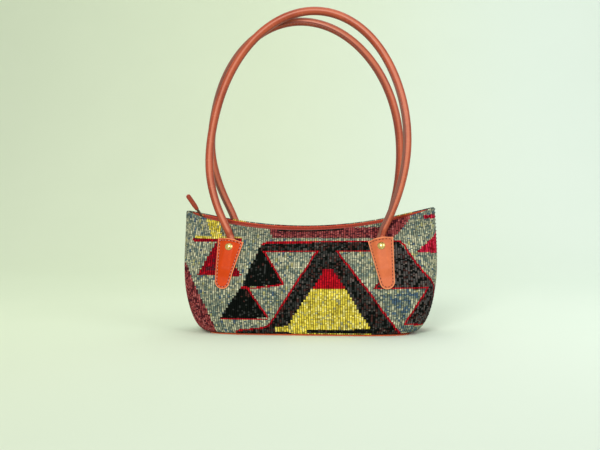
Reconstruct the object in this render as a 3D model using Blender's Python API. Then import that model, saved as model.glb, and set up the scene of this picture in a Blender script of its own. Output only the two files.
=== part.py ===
"""A baguette bag of ribbed kilim cloth with two rolled leather handles.

Units are metres. X is the bag's width, the front faces -Y, Z is up, and the
origin is the centre of the flat base.
"""

import bpy
import bmesh
import math
import numpy as np
from mathutils import Matrix, Vector

# Body of the bag
BASE_HALF_WIDTH = 0.131
BASE_HALF_DEPTH = 0.040
BELLY_HALF_WIDTH = 0.165
BELLY_HALF_DEPTH = 0.044
TOP_HALF_WIDTH = 0.161
TOP_HALF_DEPTH = 0.017
BELLY_HEIGHT = 0.105
TOP_HEIGHT_MIDDLE = 0.132
TOP_SAG = 0.024
BACK_RISE = 0.0045
BACK_RISE_FLATNESS = 8
DEPTH_PEAK = 0.36
CORNER_ROLL = 2.3
DEPTH_TAPER = 1.2
BASE_SQUARENESS = 4.5
TOP_SQUARENESS = 3.0

# Kilim cloth: one ridge stands for a pair of warps
CLOTH_THICKNESS = 0.003
RIDGE_PITCH = 0.0062
RIDGE_HEIGHT = 0.0005
WALL_LEVELS = (0.0, 0.02, 0.07, 0.16, 0.32, 0.52, 0.74, 1.0)
RIDGES_PER_INNER_COLUMN = 3
SKIN_STEP = 0.0005

# Base and inside
GAP = 0.0003
BASE_THICKNESS = 0.0018
BASE_EDGE_ROUNDING = 0.0007
BOARD_THICKNESS = 0.0018
BOARD_CLEARANCE = 0.0015
LINING_THICKNESS = 0.0008
LINING_LOOSENESS = 0.0019
LINING_END_LOOSENESS = 0.004
LINING_TOP_DROP = 0.0018
LINING_COLUMNS = 40

# Mouth: leather facings and zip
FACING_END_CLEARANCE = 0.014
FACING_THICKNESS = 0.0015
FACING_TOP_DROP = 0.0012
FACING_INNER_Y = 0.0052
ZIP_END_CLEARANCE = 0.0137
ZIP_DROP = 0.0045
ZIP_MOUTH_HALF = 0.0023
TEETH_WIDTH = 0.0018
TEETH_HEIGHT = 0.0022
TAPE_THICKNESS = 0.0007
TAPE_OVERLAP = 0.0042
STOP_LENGTH = 0.002
MOUTH_STATIONS = 17

# Zip slider and pull
SLIDER_FROM_ZIP_END = 0.0034
SLIDER_LENGTH = 0.008
SLIDER_POST_LENGTH = 0.005
SLIDER_HALF_WIDTH = 0.0044
SLIDER_PLATE = 0.0011
LUG_HEIGHT = 0.0050
LUG_THICKNESS = 0.0016
LUG_LENGTH = 0.0044
EYE_DROP = 0.0021
PIN_RADIUS = 0.0009
PIN_CLEARANCE = 0.0004
LINK_LENGTH = 0.0105
LINK_WIDTH = 0.0026
LINK_CHEEK = 0.0008
PULL_LENGTH = 0.024
PULL_WIDTH = 0.0062
PULL_THICKNESS = 0.0036
PULL_LEAN = math.radians(34)

# Handles
HANDLE_RADIUS = 0.00525
HANDLE_HALF_WIDTH = 0.1255
HANDLE_WIDEST_Z = 0.237
FRONT_HANDLE_TOP_Z = 0.4115
BACK_HANDLE_TOP_DROP = 0.007
HANDLE_SKEW = 0.010
HANDLE_POINTS = 17
HANDLE_BALL_TURNS = (0.5, 1.0, 1.35)
PIVOT_HALF_SPACING = 0.0995
PIVOT_Z = 0.132
PIVOT_STANDOFF = 0.003

# Tabs, handle ends and rivets
TAB_HALF_SPACING = 0.096
TAB_TOP_Z = 0.1198
TAB_TILT = math.radians(9.8)
TAB_LENGTH = 0.0615
TAB_TOP_WIDTH = 0.032
TAB_BOTTOM_WIDTH = 0.0185
TAB_THICKNESS = 0.002
TAB_EASE_START = 0.002
TAB_EASE = 0.012
TAB_COLUMNS = 8
TAB_TIP_TURNS = (0.6, 1.1, 1.45)
TAB_CLEARANCE = 0.0010
END_TOP_CLEARANCE = 0.0008
END_TOP_FLATTENING = 0.74
END_TOP_NARROWING = 0.95
END_TIP_NARROWING = 0.8
END_LENGTH = 0.034
END_HALF_WIDTH = 0.0062
END_TOP_THICKNESS = 0.007
END_RIVET_THICKNESS = 0.0044
END_TIP_THICKNESS = 0.0022
BULGE_FLAT = 0.0045
BULGE_HALF_WIDTH = 0.0142
RIVET_DROP = 0.0095
RIVET_HEAD_RADIUS = 0.0048
RIVET_HEAD_HEIGHT = 0.0026
RIVET_RIM_HEIGHT = 0.0006
RIVET_UNDERSIDE = 0.95
RIVET_SHANK_RADIUS = 0.0014
RIVET_CAP_RADIUS = 0.0039
RIVET_CAP_THICKNESS = 0.0009
HOLE_CLEARANCE = 0.0003
HOLE_CUTTER_LENGTH = 0.040
HOLE_CUTTER_SIDES = 10

SIDES = {"front": -1, "back": 1}
ENDS = {"left": -1, "right": 1}


def clear_scene():
    for thing in list(bpy.data.objects):
        bpy.data.objects.remove(thing)


def new_collection(name):
    made = bpy.data.collections.new(name)
    bpy.context.scene.collection.children.link(made)
    return made


def new_material(name, colour, roughness, metallic=0.0):
    made = bpy.data.materials.new(name)
    made.use_nodes = True
    shader = made.node_tree.nodes["Principled BSDF"]
    shader.inputs["Base Color"].default_value = (*colour, 1.0)
    shader.inputs["Roughness"].default_value = roughness
    shader.inputs["Metallic"].default_value = metallic
    made.diffuse_color = (*colour, 1.0)
    return made


clear_scene()
PARTS = new_collection("baguette_bag")
CUTTERS = new_collection("cutters")
KILIM = new_material("kilim", (0.14, 0.15, 0.11), 0.95)
TAN_LEATHER = new_material("tan_leather", (0.58, 0.13, 0.05), 0.55)
BROWN_LEATHER = new_material("brown_leather", (0.20, 0.05, 0.03), 0.6)
LINING_CLOTH = new_material("lining_cloth", (0.10, 0.08, 0.07), 0.9)
TAPE_CLOTH = new_material("tape_cloth", (0.20, 0.15, 0.17), 0.85)
BOARD = new_material("board", (0.25, 0.20, 0.14), 0.9)
BRASS = new_material("brass", (0.72, 0.48, 0.20), 0.3, 1.0)


def add_part(name, mesh, material, parent=None):
    """Link a mesh as a named part, keeping its place in the world."""
    made = bpy.data.objects.new(name, mesh)
    made.data.materials.clear()
    made.data.materials.append(material)
    PARTS.objects.link(made)
    if parent:
        made.parent = parent
        made.matrix_parent_inverse = parent.matrix_world.inverted()
    return made


def mesh_from(bm, name, smooth_angle=math.radians(50)):
    bmesh.ops.recalc_face_normals(bm, faces=bm.faces[:])
    mesh = bpy.data.meshes.new(name)
    bm.to_mesh(mesh)
    bm.free()
    mesh.shade_smooth()
    mesh.set_sharp_from_angle(angle=smooth_angle)
    return mesh


def loft(name, rings):
    """A capped solid through rings of equal point counts."""
    bm = bmesh.new()
    made = [[bm.verts.new(point) for point in ring] for ring in rings]
    for ring, following in zip(made, made[1:]):
        for i in range(len(ring)):
            j = (i + 1) % len(ring)
            bm.faces.new((ring[i], ring[j], following[j], following[i]))
    bm.faces.new(made[0])
    bm.faces.new(made[-1])
    return mesh_from(bm, name)


def stitch(bm, fine, coarse):
    """Join a row with many points to one with fewer, both over the same length."""
    ratio = (len(fine) - 1) // (len(coarse) - 1)
    for j in range(len(coarse) - 1):
        middle = j * ratio + ratio // 2
        for i in range(j * ratio, (j + 1) * ratio):
            corner = coarse[j] if i < middle else coarse[j + 1]
            bm.faces.new((fine[i], fine[i + 1], corner))
        bm.faces.new((fine[middle], coarse[j + 1], coarse[j]))


def sheet_solid(name, outer, inner):
    """A closed wall between an outer grid and an inner grid of as many rows."""
    bm = bmesh.new()
    outer = [[bm.verts.new(point) for point in row] for row in outer]
    inner = [[bm.verts.new(point) for point in row] for row in inner]
    for grid in (outer, inner):
        for row, following in zip(grid, grid[1:]):
            for i in range(len(row) - 1):
                bm.faces.new((row[i], row[i + 1], following[i + 1], following[i]))
    stitch(bm, outer[0], inner[0])
    stitch(bm, outer[-1], inner[-1])
    for end in (0, -1):
        for k in range(len(outer) - 1):
            bm.faces.new((outer[k][end], outer[k + 1][end], inner[k + 1][end], inner[k][end]))
    return mesh_from(bm, name)


# Shape of the body: level runs from 0 at the hem to 1 at the top edge
HEM_Z = BASE_THICKNESS + GAP
ARC_RADIUS = (TOP_HALF_WIDTH ** 2 + TOP_SAG ** 2) / (2 * TOP_SAG)
ARC_CENTRE_Z = TOP_HEIGHT_MIDDLE + ARC_RADIUS


def arc_height(x):
    """Height of the large circle's arc that the front edge and the zip follow."""
    return ARC_CENTRE_Z - math.sqrt(ARC_RADIUS ** 2 - x ** 2)


def top_edge(x, side):
    """Height of the cloth's sagging top edge, which is a little higher on the back."""
    x = min(abs(x), TOP_HALF_WIDTH)
    rise = BACK_RISE * (1 - (x / TOP_HALF_WIDTH) ** BACK_RISE_FLATNESS)
    return arc_height(x) + (rise if side == SIDES["back"] else 0.0)


def half_width(level):
    z = HEM_Z + level * (TOP_HEIGHT_MIDDLE + TOP_SAG - HEM_Z)
    if z >= BELLY_HEIGHT:
        above = (z - BELLY_HEIGHT) / (TOP_HEIGHT_MIDDLE + TOP_SAG - BELLY_HEIGHT)
        return BELLY_HALF_WIDTH - (BELLY_HALF_WIDTH - TOP_HALF_WIDTH) * above ** 2
    below = (BELLY_HEIGHT - z) / (BELLY_HEIGHT - HEM_Z)
    share = (1 - min(below, 1.0) ** CORNER_ROLL) ** (1 / CORNER_ROLL)
    return BASE_HALF_WIDTH + (BELLY_HALF_WIDTH - BASE_HALF_WIDTH) * share


def half_depth(level):
    if level >= DEPTH_PEAK:
        above = (level - DEPTH_PEAK) / (1 - DEPTH_PEAK)
        return BELLY_HALF_DEPTH - (BELLY_HALF_DEPTH - TOP_HALF_DEPTH) * above ** DEPTH_TAPER
    below = (DEPTH_PEAK - level) / DEPTH_PEAK
    share = (1 - below ** CORNER_ROLL) ** (1 / CORNER_ROLL)
    return BASE_HALF_DEPTH + (BELLY_HALF_DEPTH - BASE_HALF_DEPTH) * share


def squareness(level):
    return BASE_SQUARENESS + (TOP_SQUARENESS - BASE_SQUARENESS) * level


def section(level, inset, count, side, ridge=0.0, end_inset=0.0):
    """Points from the left end to the right end over one side at a level."""
    wide = half_width(level) - inset - end_inset
    deep = half_depth(level) - inset
    power = 2 / squareness(level)
    angles = np.linspace(math.pi, 0, 721)
    xs = wide * np.sign(np.cos(angles)) * np.abs(np.cos(angles)) ** power
    ys = deep * np.abs(np.sin(angles)) ** power
    run = np.concatenate([[0.0], np.cumsum(np.hypot(np.diff(xs), np.diff(ys)))])
    half = run[-1] / 2
    even = np.linspace(-1, 1, count) * PANEL_HALF_RUN
    spread = even + (half - PANEL_HALF_RUN) * (even / PANEL_HALF_RUN) ** 3
    xs = np.interp(spread + half, run, xs)
    ys = np.interp(spread + half, run, ys)
    normals_x = np.gradient(ys)
    normals_y = -np.gradient(xs)
    lengths = np.hypot(normals_x, normals_y)
    points = []
    for i in range(count):
        out = ridge * (i % 2) / lengths[i]
        x = xs[i] - normals_x[i] * out
        y = ys[i] - normals_y[i] * out
        z = HEM_Z + level * (top_edge(x, side) - HEM_Z)
        points.append(Vector((x, side * (y + GAP / 2), z)))
    return points


def section_run(level):
    """Half the length of cloth from one end to the other at a level."""
    angles = np.linspace(0, math.pi / 2, 361)
    power = 2 / squareness(level)
    xs = half_width(level) * np.cos(angles) ** power
    ys = half_depth(level) * np.sin(angles) ** power
    return float(np.sum(np.hypot(np.diff(xs), np.diff(ys))))


PANEL_HALF_RUN = section_run(0.5)
INNER_COLUMNS = 2 * round(PANEL_HALF_RUN / RIDGE_PITCH / RIDGES_PER_INNER_COLUMN)
RIDGES = INNER_COLUMNS * RIDGES_PER_INNER_COLUMN


def skin_point(x, z, lift, side):
    """A point lifted off the body's outer face along the face's own normal."""
    def on_face(across, up):
        level = (up - HEM_Z) / (top_edge(across, side) - HEM_Z)
        power = squareness(level)
        share = 1 - (abs(across) / half_width(level)) ** power
        return Vector((across, side * half_depth(level) * share ** (1 / power), up))
    here = on_face(x, z)
    along = on_face(x + SKIN_STEP, z) - on_face(x - SKIN_STEP, z)
    upward = on_face(x, z + SKIN_STEP) - on_face(x, z - SKIN_STEP)
    normal = along.cross(upward).normalized() * -side
    return here + normal * lift, normal


def make_panel(name, side):
    """One side of the body, ridged outside and plain inside."""
    outer = [section(level, 0.0, 2 * RIDGES + 1, side, RIDGE_HEIGHT)
             for level in WALL_LEVELS]
    inner = [section(level, CLOTH_THICKNESS, INNER_COLUMNS + 1, side)
             for level in WALL_LEVELS]
    return add_part(name, sheet_solid(name, outer, inner), KILIM)


def flat_ring(inset, z, count=48):
    """The base's rounded rectangle at one height."""
    wide = BASE_HALF_WIDTH - inset
    deep = BASE_HALF_DEPTH - inset
    power = 2 / BASE_SQUARENESS
    ring = []
    for i in range(count):
        angle = 2 * math.pi * (i + 0.5) / count
        x = wide * math.copysign(abs(math.cos(angle)) ** power, math.cos(angle))
        y = deep * math.copysign(abs(math.sin(angle)) ** power, math.sin(angle))
        ring.append(Vector((x, y, z)))
    return ring


def make_base():
    """The leather base with eased edges, and the stiff board that it carries."""
    ease = BASE_EDGE_ROUNDING
    rings = [flat_ring(ease, 0.0), flat_ring(0.0, ease),
             flat_ring(0.0, BASE_THICKNESS - ease), flat_ring(ease, BASE_THICKNESS)]
    add_part("base_panel", loft("base_panel", rings), TAN_LEATHER)
    inset = CLOTH_THICKNESS + BOARD_CLEARANCE
    rings = [flat_ring(inset, HEM_Z), flat_ring(inset, HEM_Z + BOARD_THICKNESS)]
    add_part("base_board", loft("base_board", rings), BOARD)


def body_ring(level, inset, height=None):
    """A whole ring round the body at a level, for the lining, at a height if one is given."""
    half = LINING_COLUMNS // 2
    ring = section(level, inset, half + 1, -1, end_inset=LINING_END_LOOSENESS)[:-1]
    ring += section(level, inset, half + 1, 1, end_inset=LINING_END_LOOSENESS)[::-1][:-1]
    for point in ring:
        if height:
            point.z = height(point.x)
    return ring


def make_lining():
    """A loose cloth sack, open at the top, that hangs from the facings."""
    outside = CLOTH_THICKNESS + LINING_LOOSENESS
    inside = outside + LINING_THICKNESS
    floor = HEM_Z + BOARD_THICKNESS + GAP
    floor_level = (floor - HEM_Z) / (TOP_HEIGHT_MIDDLE + TOP_SAG - HEM_Z)
    levels = [level for level in WALL_LEVELS[:-1] if level > 2 * floor_level]
    rings = [body_ring(floor_level, outside, lambda x: floor)]
    rings += [body_ring(level, outside) for level in levels]
    rings += [body_ring(1.0, inset, lambda x: facing_bottom(x) - LINING_TOP_DROP)
              for inset in (outside, inside)]
    rings += [body_ring(level, inside) for level in levels[::-1]]
    rings += [body_ring(floor_level, inside, lambda x: floor + LINING_THICKNESS)]
    add_part("lining", loft("lining", rings), LINING_CLOTH)


def top_inner_y(x):
    """Depth of the cloth's inner face along the top edge."""
    wide = TOP_HALF_WIDTH - CLOTH_THICKNESS
    deep = TOP_HALF_DEPTH - CLOTH_THICKNESS
    return deep * (1 - (abs(x) / wide) ** TOP_SQUARENESS) ** (1 / TOP_SQUARENESS)


def teeth_level(x):
    """Height of the middle of the zip's teeth."""
    return arc_height(x) - ZIP_DROP


def facing_bottom(x):
    return teeth_level(x) - TEETH_HEIGHT / 2


def make_facing(name, side):
    """A leather strip inside the mouth, with a flange that reaches in over the zip's tape."""
    rings = []
    half_length = TOP_HALF_WIDTH - FACING_END_CLEARANCE
    for x in np.linspace(-half_length, half_length, MOUTH_STATIONS):
        outer = top_inner_y(x) - 2 * GAP
        leg = max(outer - FACING_THICKNESS, FACING_INNER_Y + GAP)
        top = top_edge(x, side) - FACING_TOP_DROP
        bottom = facing_bottom(x)
        flange_low = teeth_level(x) + TAPE_THICKNESS / 2 + GAP
        flange_high = flange_low + FACING_THICKNESS
        profile = [(outer, bottom), (outer, top), (leg, top), (leg, flange_high),
                   (FACING_INNER_Y, flange_high), (FACING_INNER_Y, flange_low),
                   (leg, flange_low), (leg, bottom)]
        rings.append([Vector((x, side * y, z)) for y, z in profile])
    return add_part(name, loft(name, rings), TAN_LEATHER)


# Half the length of the zip, which ends a little short of the two side seams
ZIP_HALF_LENGTH = TOP_HALF_WIDTH - ZIP_END_CLEARANCE


def make_zip_tape(name, side):
    """A cloth tape under the facing with its row of teeth along the mouth."""
    rings = []
    teeth_outer = ZIP_MOUTH_HALF + TEETH_WIDTH
    for x in np.linspace(-ZIP_HALF_LENGTH, ZIP_HALF_LENGTH, MOUTH_STATIONS):
        middle = teeth_level(x)
        room = max(top_inner_y(x) - 3 * GAP - FACING_THICKNESS, teeth_outer + GAP)
        tape_edge = min(teeth_outer + TAPE_OVERLAP, room)
        low = middle - TEETH_HEIGHT / 2
        high = middle + TEETH_HEIGHT / 2
        tape_low = middle - TAPE_THICKNESS / 2
        tape_high = middle + TAPE_THICKNESS / 2
        profile = [(ZIP_MOUTH_HALF, low), (ZIP_MOUTH_HALF, high), (teeth_outer, high),
                   (teeth_outer, tape_high), (tape_edge, tape_high), (tape_edge, tape_low),
                   (teeth_outer, tape_low), (teeth_outer, low)]
        rings.append([Vector((x, side * y, z)) for y, z in profile])
    return add_part(name, loft(name, rings), TAPE_CLOTH)


def box(name, size, place, frame=Matrix()):
    """A box of a full size, centred on a place given in a frame."""
    bm = bmesh.new()
    bmesh.ops.create_cube(bm, size=1.0)
    bmesh.ops.scale(bm, vec=size, verts=bm.verts[:])
    bmesh.ops.translate(bm, vec=place, verts=bm.verts[:])
    bmesh.ops.transform(bm, matrix=frame, verts=bm.verts[:])
    return mesh_from(bm, name)


def pin(name, radius, length, place, frame=Matrix(), sides=12):
    """A cylinder along Y, centred on a place given in a frame."""
    bm = bmesh.new()
    bmesh.ops.create_cone(bm, cap_ends=True, segments=sides, radius1=radius,
                          radius2=radius, depth=length)
    bmesh.ops.rotate(bm, matrix=Matrix.Rotation(math.pi / 2, 3, "X"), verts=bm.verts[:])
    bmesh.ops.translate(bm, vec=place, verts=bm.verts[:])
    bmesh.ops.transform(bm, matrix=frame, verts=bm.verts[:])
    return mesh_from(bm, name)


def boolean(target, mesh, operation):
    """Join a mesh to a part or cut it out of the part."""
    tool = bpy.data.objects.new("tool_" + mesh.name, mesh)
    tool.hide_render = True
    tool.display_type = "WIRE"
    CUTTERS.objects.link(tool)
    if target.parent:
        tool.parent = target.parent
        tool.matrix_parent_inverse = target.parent.matrix_world.inverted()
    step = target.modifiers.new(mesh.name, "BOOLEAN")
    step.operation = operation
    step.object = tool
    step.solver = "EXACT"


def make_zip_stop(name, end):
    """A small metal clamp across the two tapes past the last teeth."""
    x = end * (ZIP_HALF_LENGTH + GAP + STOP_LENGTH / 2)
    size = (STOP_LENGTH, 2 * (ZIP_MOUTH_HALF + TEETH_WIDTH), TEETH_HEIGHT)
    turn = Matrix.Rotation(-math.asin(x / ARC_RADIUS), 4, "Y")
    frame = Matrix.Translation((x, 0, teeth_level(x))) @ turn
    add_part(name, box(name, size, (0, 0, 0), frame), BRASS)


def empty(name, place, parent=None):
    made = bpy.data.objects.new(name, None)
    PARTS.objects.link(made)
    made.matrix_world = Matrix.Translation(place)
    if parent:
        made.parent = parent
        made.matrix_parent_inverse = parent.matrix_world.inverted()
    bpy.context.view_layer.update()
    return made


def make_slider():
    """The slider straddles both rows of teeth and travels along the sagging arc."""
    axis = empty("slider_axis", (0, 0, ARC_CENTRE_Z - ZIP_DROP))
    x = SLIDER_FROM_ZIP_END - ZIP_HALF_LENGTH
    turn = Matrix.Rotation(-math.asin(x / ARC_RADIUS), 4, "Y")
    frame = Matrix.Translation((x, 0, teeth_level(x))) @ turn
    plate_z = TEETH_HEIGHT / 2 + GAP + SLIDER_PLATE / 2
    plate = (SLIDER_LENGTH, 2 * SLIDER_HALF_WIDTH, SLIDER_PLATE)
    post = (SLIDER_POST_LENGTH, 2 * (ZIP_MOUTH_HALF - 2 * GAP), 2 * plate_z)
    lug_z = plate_z + LUG_HEIGHT / 2
    lug = (LUG_LENGTH, LUG_THICKNESS, LUG_HEIGHT)
    slider = add_part("zip_slider", box("zip_slider", plate, (0, 0, plate_z), frame), BRASS, axis)
    boolean(slider, box("slider_low_plate", plate, (0, 0, -plate_z), frame), "UNION")
    boolean(slider, box("slider_post", post, (0, 0, 0), frame), "UNION")
    boolean(slider, box("slider_lug", lug, (0, 0, lug_z), frame), "UNION")
    eye = (0, 0, plate_z + LUG_HEIGHT - EYE_DROP)
    hole = pin("slider_eye", PIN_RADIUS + PIN_CLEARANCE, 4 * LUG_THICKNESS, eye, frame)
    boolean(slider, hole, "DIFFERENCE")
    make_pull(axis, frame @ Vector(eye))


def make_pull(slider_axis, eye):
    """The link's pin turns in the slider's lug, and the leather pull hangs on the link."""
    axis = empty("pull_axis", eye, slider_axis)
    frame = Matrix.Translation(eye) @ Matrix.Rotation(-PULL_LEAN, 4, "Y")
    cheek_y = LUG_THICKNESS / 2 + GAP + LINK_CHEEK / 2
    cheek_top = math.hypot(LUG_LENGTH / 2, EYE_DROP) + GAP
    outer_y = cheek_y + LINK_CHEEK / 2
    inner_y = cheek_y - LINK_CHEEK / 2
    low = -LINK_WIDTH / 2
    fork = [(-outer_y, low), (-outer_y, LINK_LENGTH), (outer_y, LINK_LENGTH), (outer_y, low),
            (inner_y, low), (inner_y, cheek_top), (-inner_y, cheek_top), (-inner_y, low)]
    rings = [[frame @ Vector((x, y, z)) for y, z in fork] for x in (low, -low)]
    link = add_part("pull_link", loft("pull_link", rings), BRASS, axis)
    boolean(link, pin("link_pin", PIN_RADIUS, 2 * cheek_y, (0, 0, 0), frame), "UNION")
    size = (PULL_WIDTH, PULL_THICKNESS, PULL_LENGTH)
    place = (0, 0, LINK_LENGTH + GAP + PULL_LENGTH / 2)
    add_part("zip_pull", box("zip_pull", size, place, frame), BROWN_LEATHER, axis)


def handle_top_z(side_name):
    """Height of a handle's top: the back one hangs a little lower."""
    drop = BACK_HANDLE_TOP_DROP if side_name == "back" else 0.0
    return FRONT_HANDLE_TOP_Z - drop


def handle_lean(side_name):
    """Angle by which a handle leans inward, so that the two meet at their tops."""
    start = pivot_place(side_name, 1)
    meeting = HANDLE_RADIUS + GAP
    return math.atan2(abs(start.y) - meeting, handle_top_z(side_name) - start.z)


def pivot_place(side_name, end):
    lift = HANDLE_RADIUS + GAP + PIVOT_STANDOFF
    place, normal = skin_point(PIVOT_HALF_SPACING, PIVOT_Z, lift, SIDES[side_name])
    return Vector((end * PIVOT_HALF_SPACING, place.y, PIVOT_Z))


def handle_half_width(z, top_z):
    """Half the handle's width: an ellipse above its widest point, a parabola below."""
    if z >= HANDLE_WIDEST_Z:
        share = (z - HANDLE_WIDEST_Z) / (top_z - HANDLE_WIDEST_Z)
        return HANDLE_HALF_WIDTH * math.sqrt(max(1 - share ** 2, 0.0))
    share = (HANDLE_WIDEST_Z - z) / (HANDLE_WIDEST_Z - PIVOT_Z)
    return HANDLE_HALF_WIDTH - (HANDLE_HALF_WIDTH - PIVOT_HALF_SPACING) * share ** 2


def handle_route(side_name):
    """Centre points of a handle from its left pivot over the top to its right pivot."""
    side = SIDES[side_name]
    start = pivot_place(side_name, 1)
    heights = list(np.linspace(PIVOT_Z, HANDLE_WIDEST_Z, HANDLE_POINTS // 2)[:-1])
    top_z = handle_top_z(side_name)
    rise = top_z - HANDLE_WIDEST_Z
    for angle in np.linspace(0, math.pi / 2, HANDLE_POINTS - len(heights)):
        heights.append(HANDLE_WIDEST_Z + rise * math.sin(angle))
    route = []
    for end, order in ((-1, heights), (1, heights[-2::-1])):
        for z in order:
            skew = -side * HANDLE_SKEW * (z - PIVOT_Z) / (top_z - PIVOT_Z)
            y = start.y - side * (z - PIVOT_Z) * math.tan(handle_lean(side_name))
            route.append(Vector((end * handle_half_width(z, top_z) + skew, y, z)))
    return route


def make_handle(side_name):
    """A rolled leather handle with a ball at each end, on the pivot line."""
    route = handle_route(side_name)
    start, finish = route[0], route[-1]
    first = (route[0] - route[1]).normalized() * HANDLE_RADIUS
    last = (route[-1] - route[-2]).normalized() * HANDLE_RADIUS
    ball = [(math.sin(turn), math.cos(turn)) for turn in HANDLE_BALL_TURNS]
    points = [(start + first * far, near) for far, near in reversed(ball)]
    points += [(point, 1.0) for point in route]
    points += [(finish + last * far, near) for far, near in ball]
    curve = bpy.data.curves.new(side_name + "_handle", "CURVE")
    curve.dimensions = "3D"
    curve.bevel_depth = HANDLE_RADIUS
    curve.bevel_resolution = 2
    curve.use_fill_caps = True
    axis = empty(side_name + "_handle_axis", (0, start.y, start.z))
    spline = curve.splines.new("POLY")
    spline.points.add(len(points) - 1)
    for knot, (place, share) in zip(spline.points, points):
        knot.co = (*(place - axis.location), 1.0)
        knot.radius = share
    curve.materials.append(TAN_LEATHER)
    handle = bpy.data.objects.new(side_name + "_handle", curve)
    PARTS.objects.link(handle)
    handle.parent = axis


def tab_place(end, across, down):
    """X and Z at a distance across and down the tab's own axis."""
    x = TAB_HALF_SPACING + down * math.sin(TAB_TILT) + across * math.cos(TAB_TILT)
    z = TAB_TOP_Z - down * math.cos(TAB_TILT) + across * math.sin(TAB_TILT)
    return end * x, z


# Stretch of the tab under the rivet's head, measured down from the tab's top
HEAD_TOP = RIVET_DROP - RIVET_HEAD_RADIUS
HEAD_BOTTOM = RIVET_DROP + RIVET_HEAD_RADIUS


def end_half_thickness(down):
    """Half thickness of the flattened handle end: even under the rivet's head."""
    if down < HEAD_TOP:
        share = (HEAD_TOP - down) / HEAD_TOP
        return (END_RIVET_THICKNESS + (END_TOP_THICKNESS - END_RIVET_THICKNESS) * share) / 2
    share = min(max((down - HEAD_BOTTOM) / (END_LENGTH - HEAD_BOTTOM), 0.0), 1.0)
    return (END_RIVET_THICKNESS + (END_TIP_THICKNESS - END_RIVET_THICKNESS) * share) / 2


def ellipse_ring(centre, across, outward, half_wide, half_thick, count=10):
    ring = []
    for i in range(count):
        turn = 2 * math.pi * i / count
        ring.append(centre + across * (half_wide * math.cos(turn))
                    + outward * (half_thick * math.sin(turn)))
    return ring


def make_handle_end(side_name, end_name):
    """The handle's end: round just under the pivot, then flat beneath the tab."""
    side = SIDES[side_name]
    end = ENDS[end_name]
    name = side_name + "_" + end_name + "_handle_end"
    pivot = pivot_place(side_name, end)
    rings = []
    slope = (PIVOT_HALF_SPACING - TAB_HALF_SPACING) / (PIVOT_Z - TAB_TOP_Z)
    below = HANDLE_RADIUS + END_TOP_CLEARANCE
    top_x = pivot.x - end * slope * below
    top_z = pivot.z - below
    top_thick = HANDLE_RADIUS * END_TOP_FLATTENING
    skin_y = skin_point(top_x, top_z, 0.0, side)[0].y
    top_y = skin_y + side * (top_thick + RIDGE_HEIGHT + 2 * GAP)
    across = Vector((1, 0, 0))
    outward = Vector((0, side, 0))
    rings.append(ellipse_ring(Vector((top_x, top_y, top_z)), across, outward,
                              HANDLE_RADIUS * END_TOP_NARROWING, top_thick))
    middle = (HEAD_BOTTOM + END_LENGTH) / 2
    for down in (0.0, HEAD_TOP, RIVET_DROP, HEAD_BOTTOM, middle, END_LENGTH):
        x, z = tab_place(end, 0.0, down)
        thick = end_half_thickness(down)
        centre, normal = skin_point(x, z, thick + RIDGE_HEIGHT + GAP, side)
        along = Vector((end * math.cos(TAB_TILT), 0, math.sin(TAB_TILT)))
        along -= normal * along.dot(normal)
        wide = END_HALF_WIDTH if down < END_LENGTH else END_HALF_WIDTH * END_TIP_NARROWING
        rings.append(ellipse_ring(centre, along.normalized() * end, normal, wide, thick))
    made = add_part(name, loft(name, rings), TAN_LEATHER)
    cut_rivet_hole(made, side, end)


def smooth_step(value):
    value = min(max(value, 0.0), 1.0)
    return value * value * (3 - 2 * value)


def tab_lift(across, down):
    """How far the tab's inner face stands off the cloth, over the handle's end."""
    flat = RIDGE_HEIGHT + GAP
    over_end = 2 * end_half_thickness(down) + RIDGE_HEIGHT + TAB_CLEARANCE
    sideways = smooth_step((abs(across) - BULGE_FLAT) / (BULGE_HALF_WIDTH - BULGE_FLAT))
    lengthways = smooth_step((down - END_LENGTH - TAB_EASE_START) / TAB_EASE)
    return flat + (over_end - flat) * (1 - sideways) * (1 - lengthways)


def tab_half_width(down):
    """Half the tab's width: straight sides, then a round tip."""
    radius = TAB_BOTTOM_WIDTH / 2
    straight = TAB_LENGTH - radius
    if down <= straight:
        share = down / straight
        return (TAB_TOP_WIDTH + (TAB_BOTTOM_WIDTH - TAB_TOP_WIDTH) * share) / 2
    past = min((down - straight) / radius, 1.0)
    return radius * math.sqrt(1 - past ** 2)


def make_tab(side_name, end_name):
    """A leather tab over the handle's end, shaped to the bulge beneath it."""
    side = SIDES[side_name]
    end = ENDS[end_name]
    name = side_name + "_" + end_name + "_tab"
    radius = TAB_BOTTOM_WIDTH / 2
    straight = TAB_LENGTH - radius
    past_end = END_LENGTH + TAB_EASE_START
    downs = [0.0, HEAD_TOP / 2, HEAD_TOP, HEAD_BOTTOM, (HEAD_BOTTOM + past_end) / 2, past_end]
    downs += [past_end + TAB_EASE / 2, past_end + TAB_EASE, straight]
    downs = sorted(down for down in downs if down <= straight)
    downs += [straight + radius * math.sin(turn) for turn in TAB_TIP_TURNS]
    grids = []
    for lift in (TAB_THICKNESS, 0.0):
        grid = []
        for down in downs:
            row = []
            for share in np.linspace(-1, 1, TAB_COLUMNS + 1):
                across = share * tab_half_width(down)
                x, z = tab_place(end, across, down)
                row.append(skin_point(x, z, tab_lift(across, down) + lift, side)[0])
            grid.append(row)
        grids.append(grid)
    made = add_part(name, sheet_solid(name, grids[0], grids[1]), TAN_LEATHER)
    cut_rivet_hole(made, side, end)


def rivet_frame(side, end):
    """A frame at the rivet on the cloth's outer face, with Z pointing outward."""
    x, z = tab_place(end, 0.0, RIVET_DROP)
    place, normal = skin_point(x, z, 0.0, side)
    return Matrix.Translation(place) @ normal.to_track_quat("Z", "Y").to_matrix().to_4x4()


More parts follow.
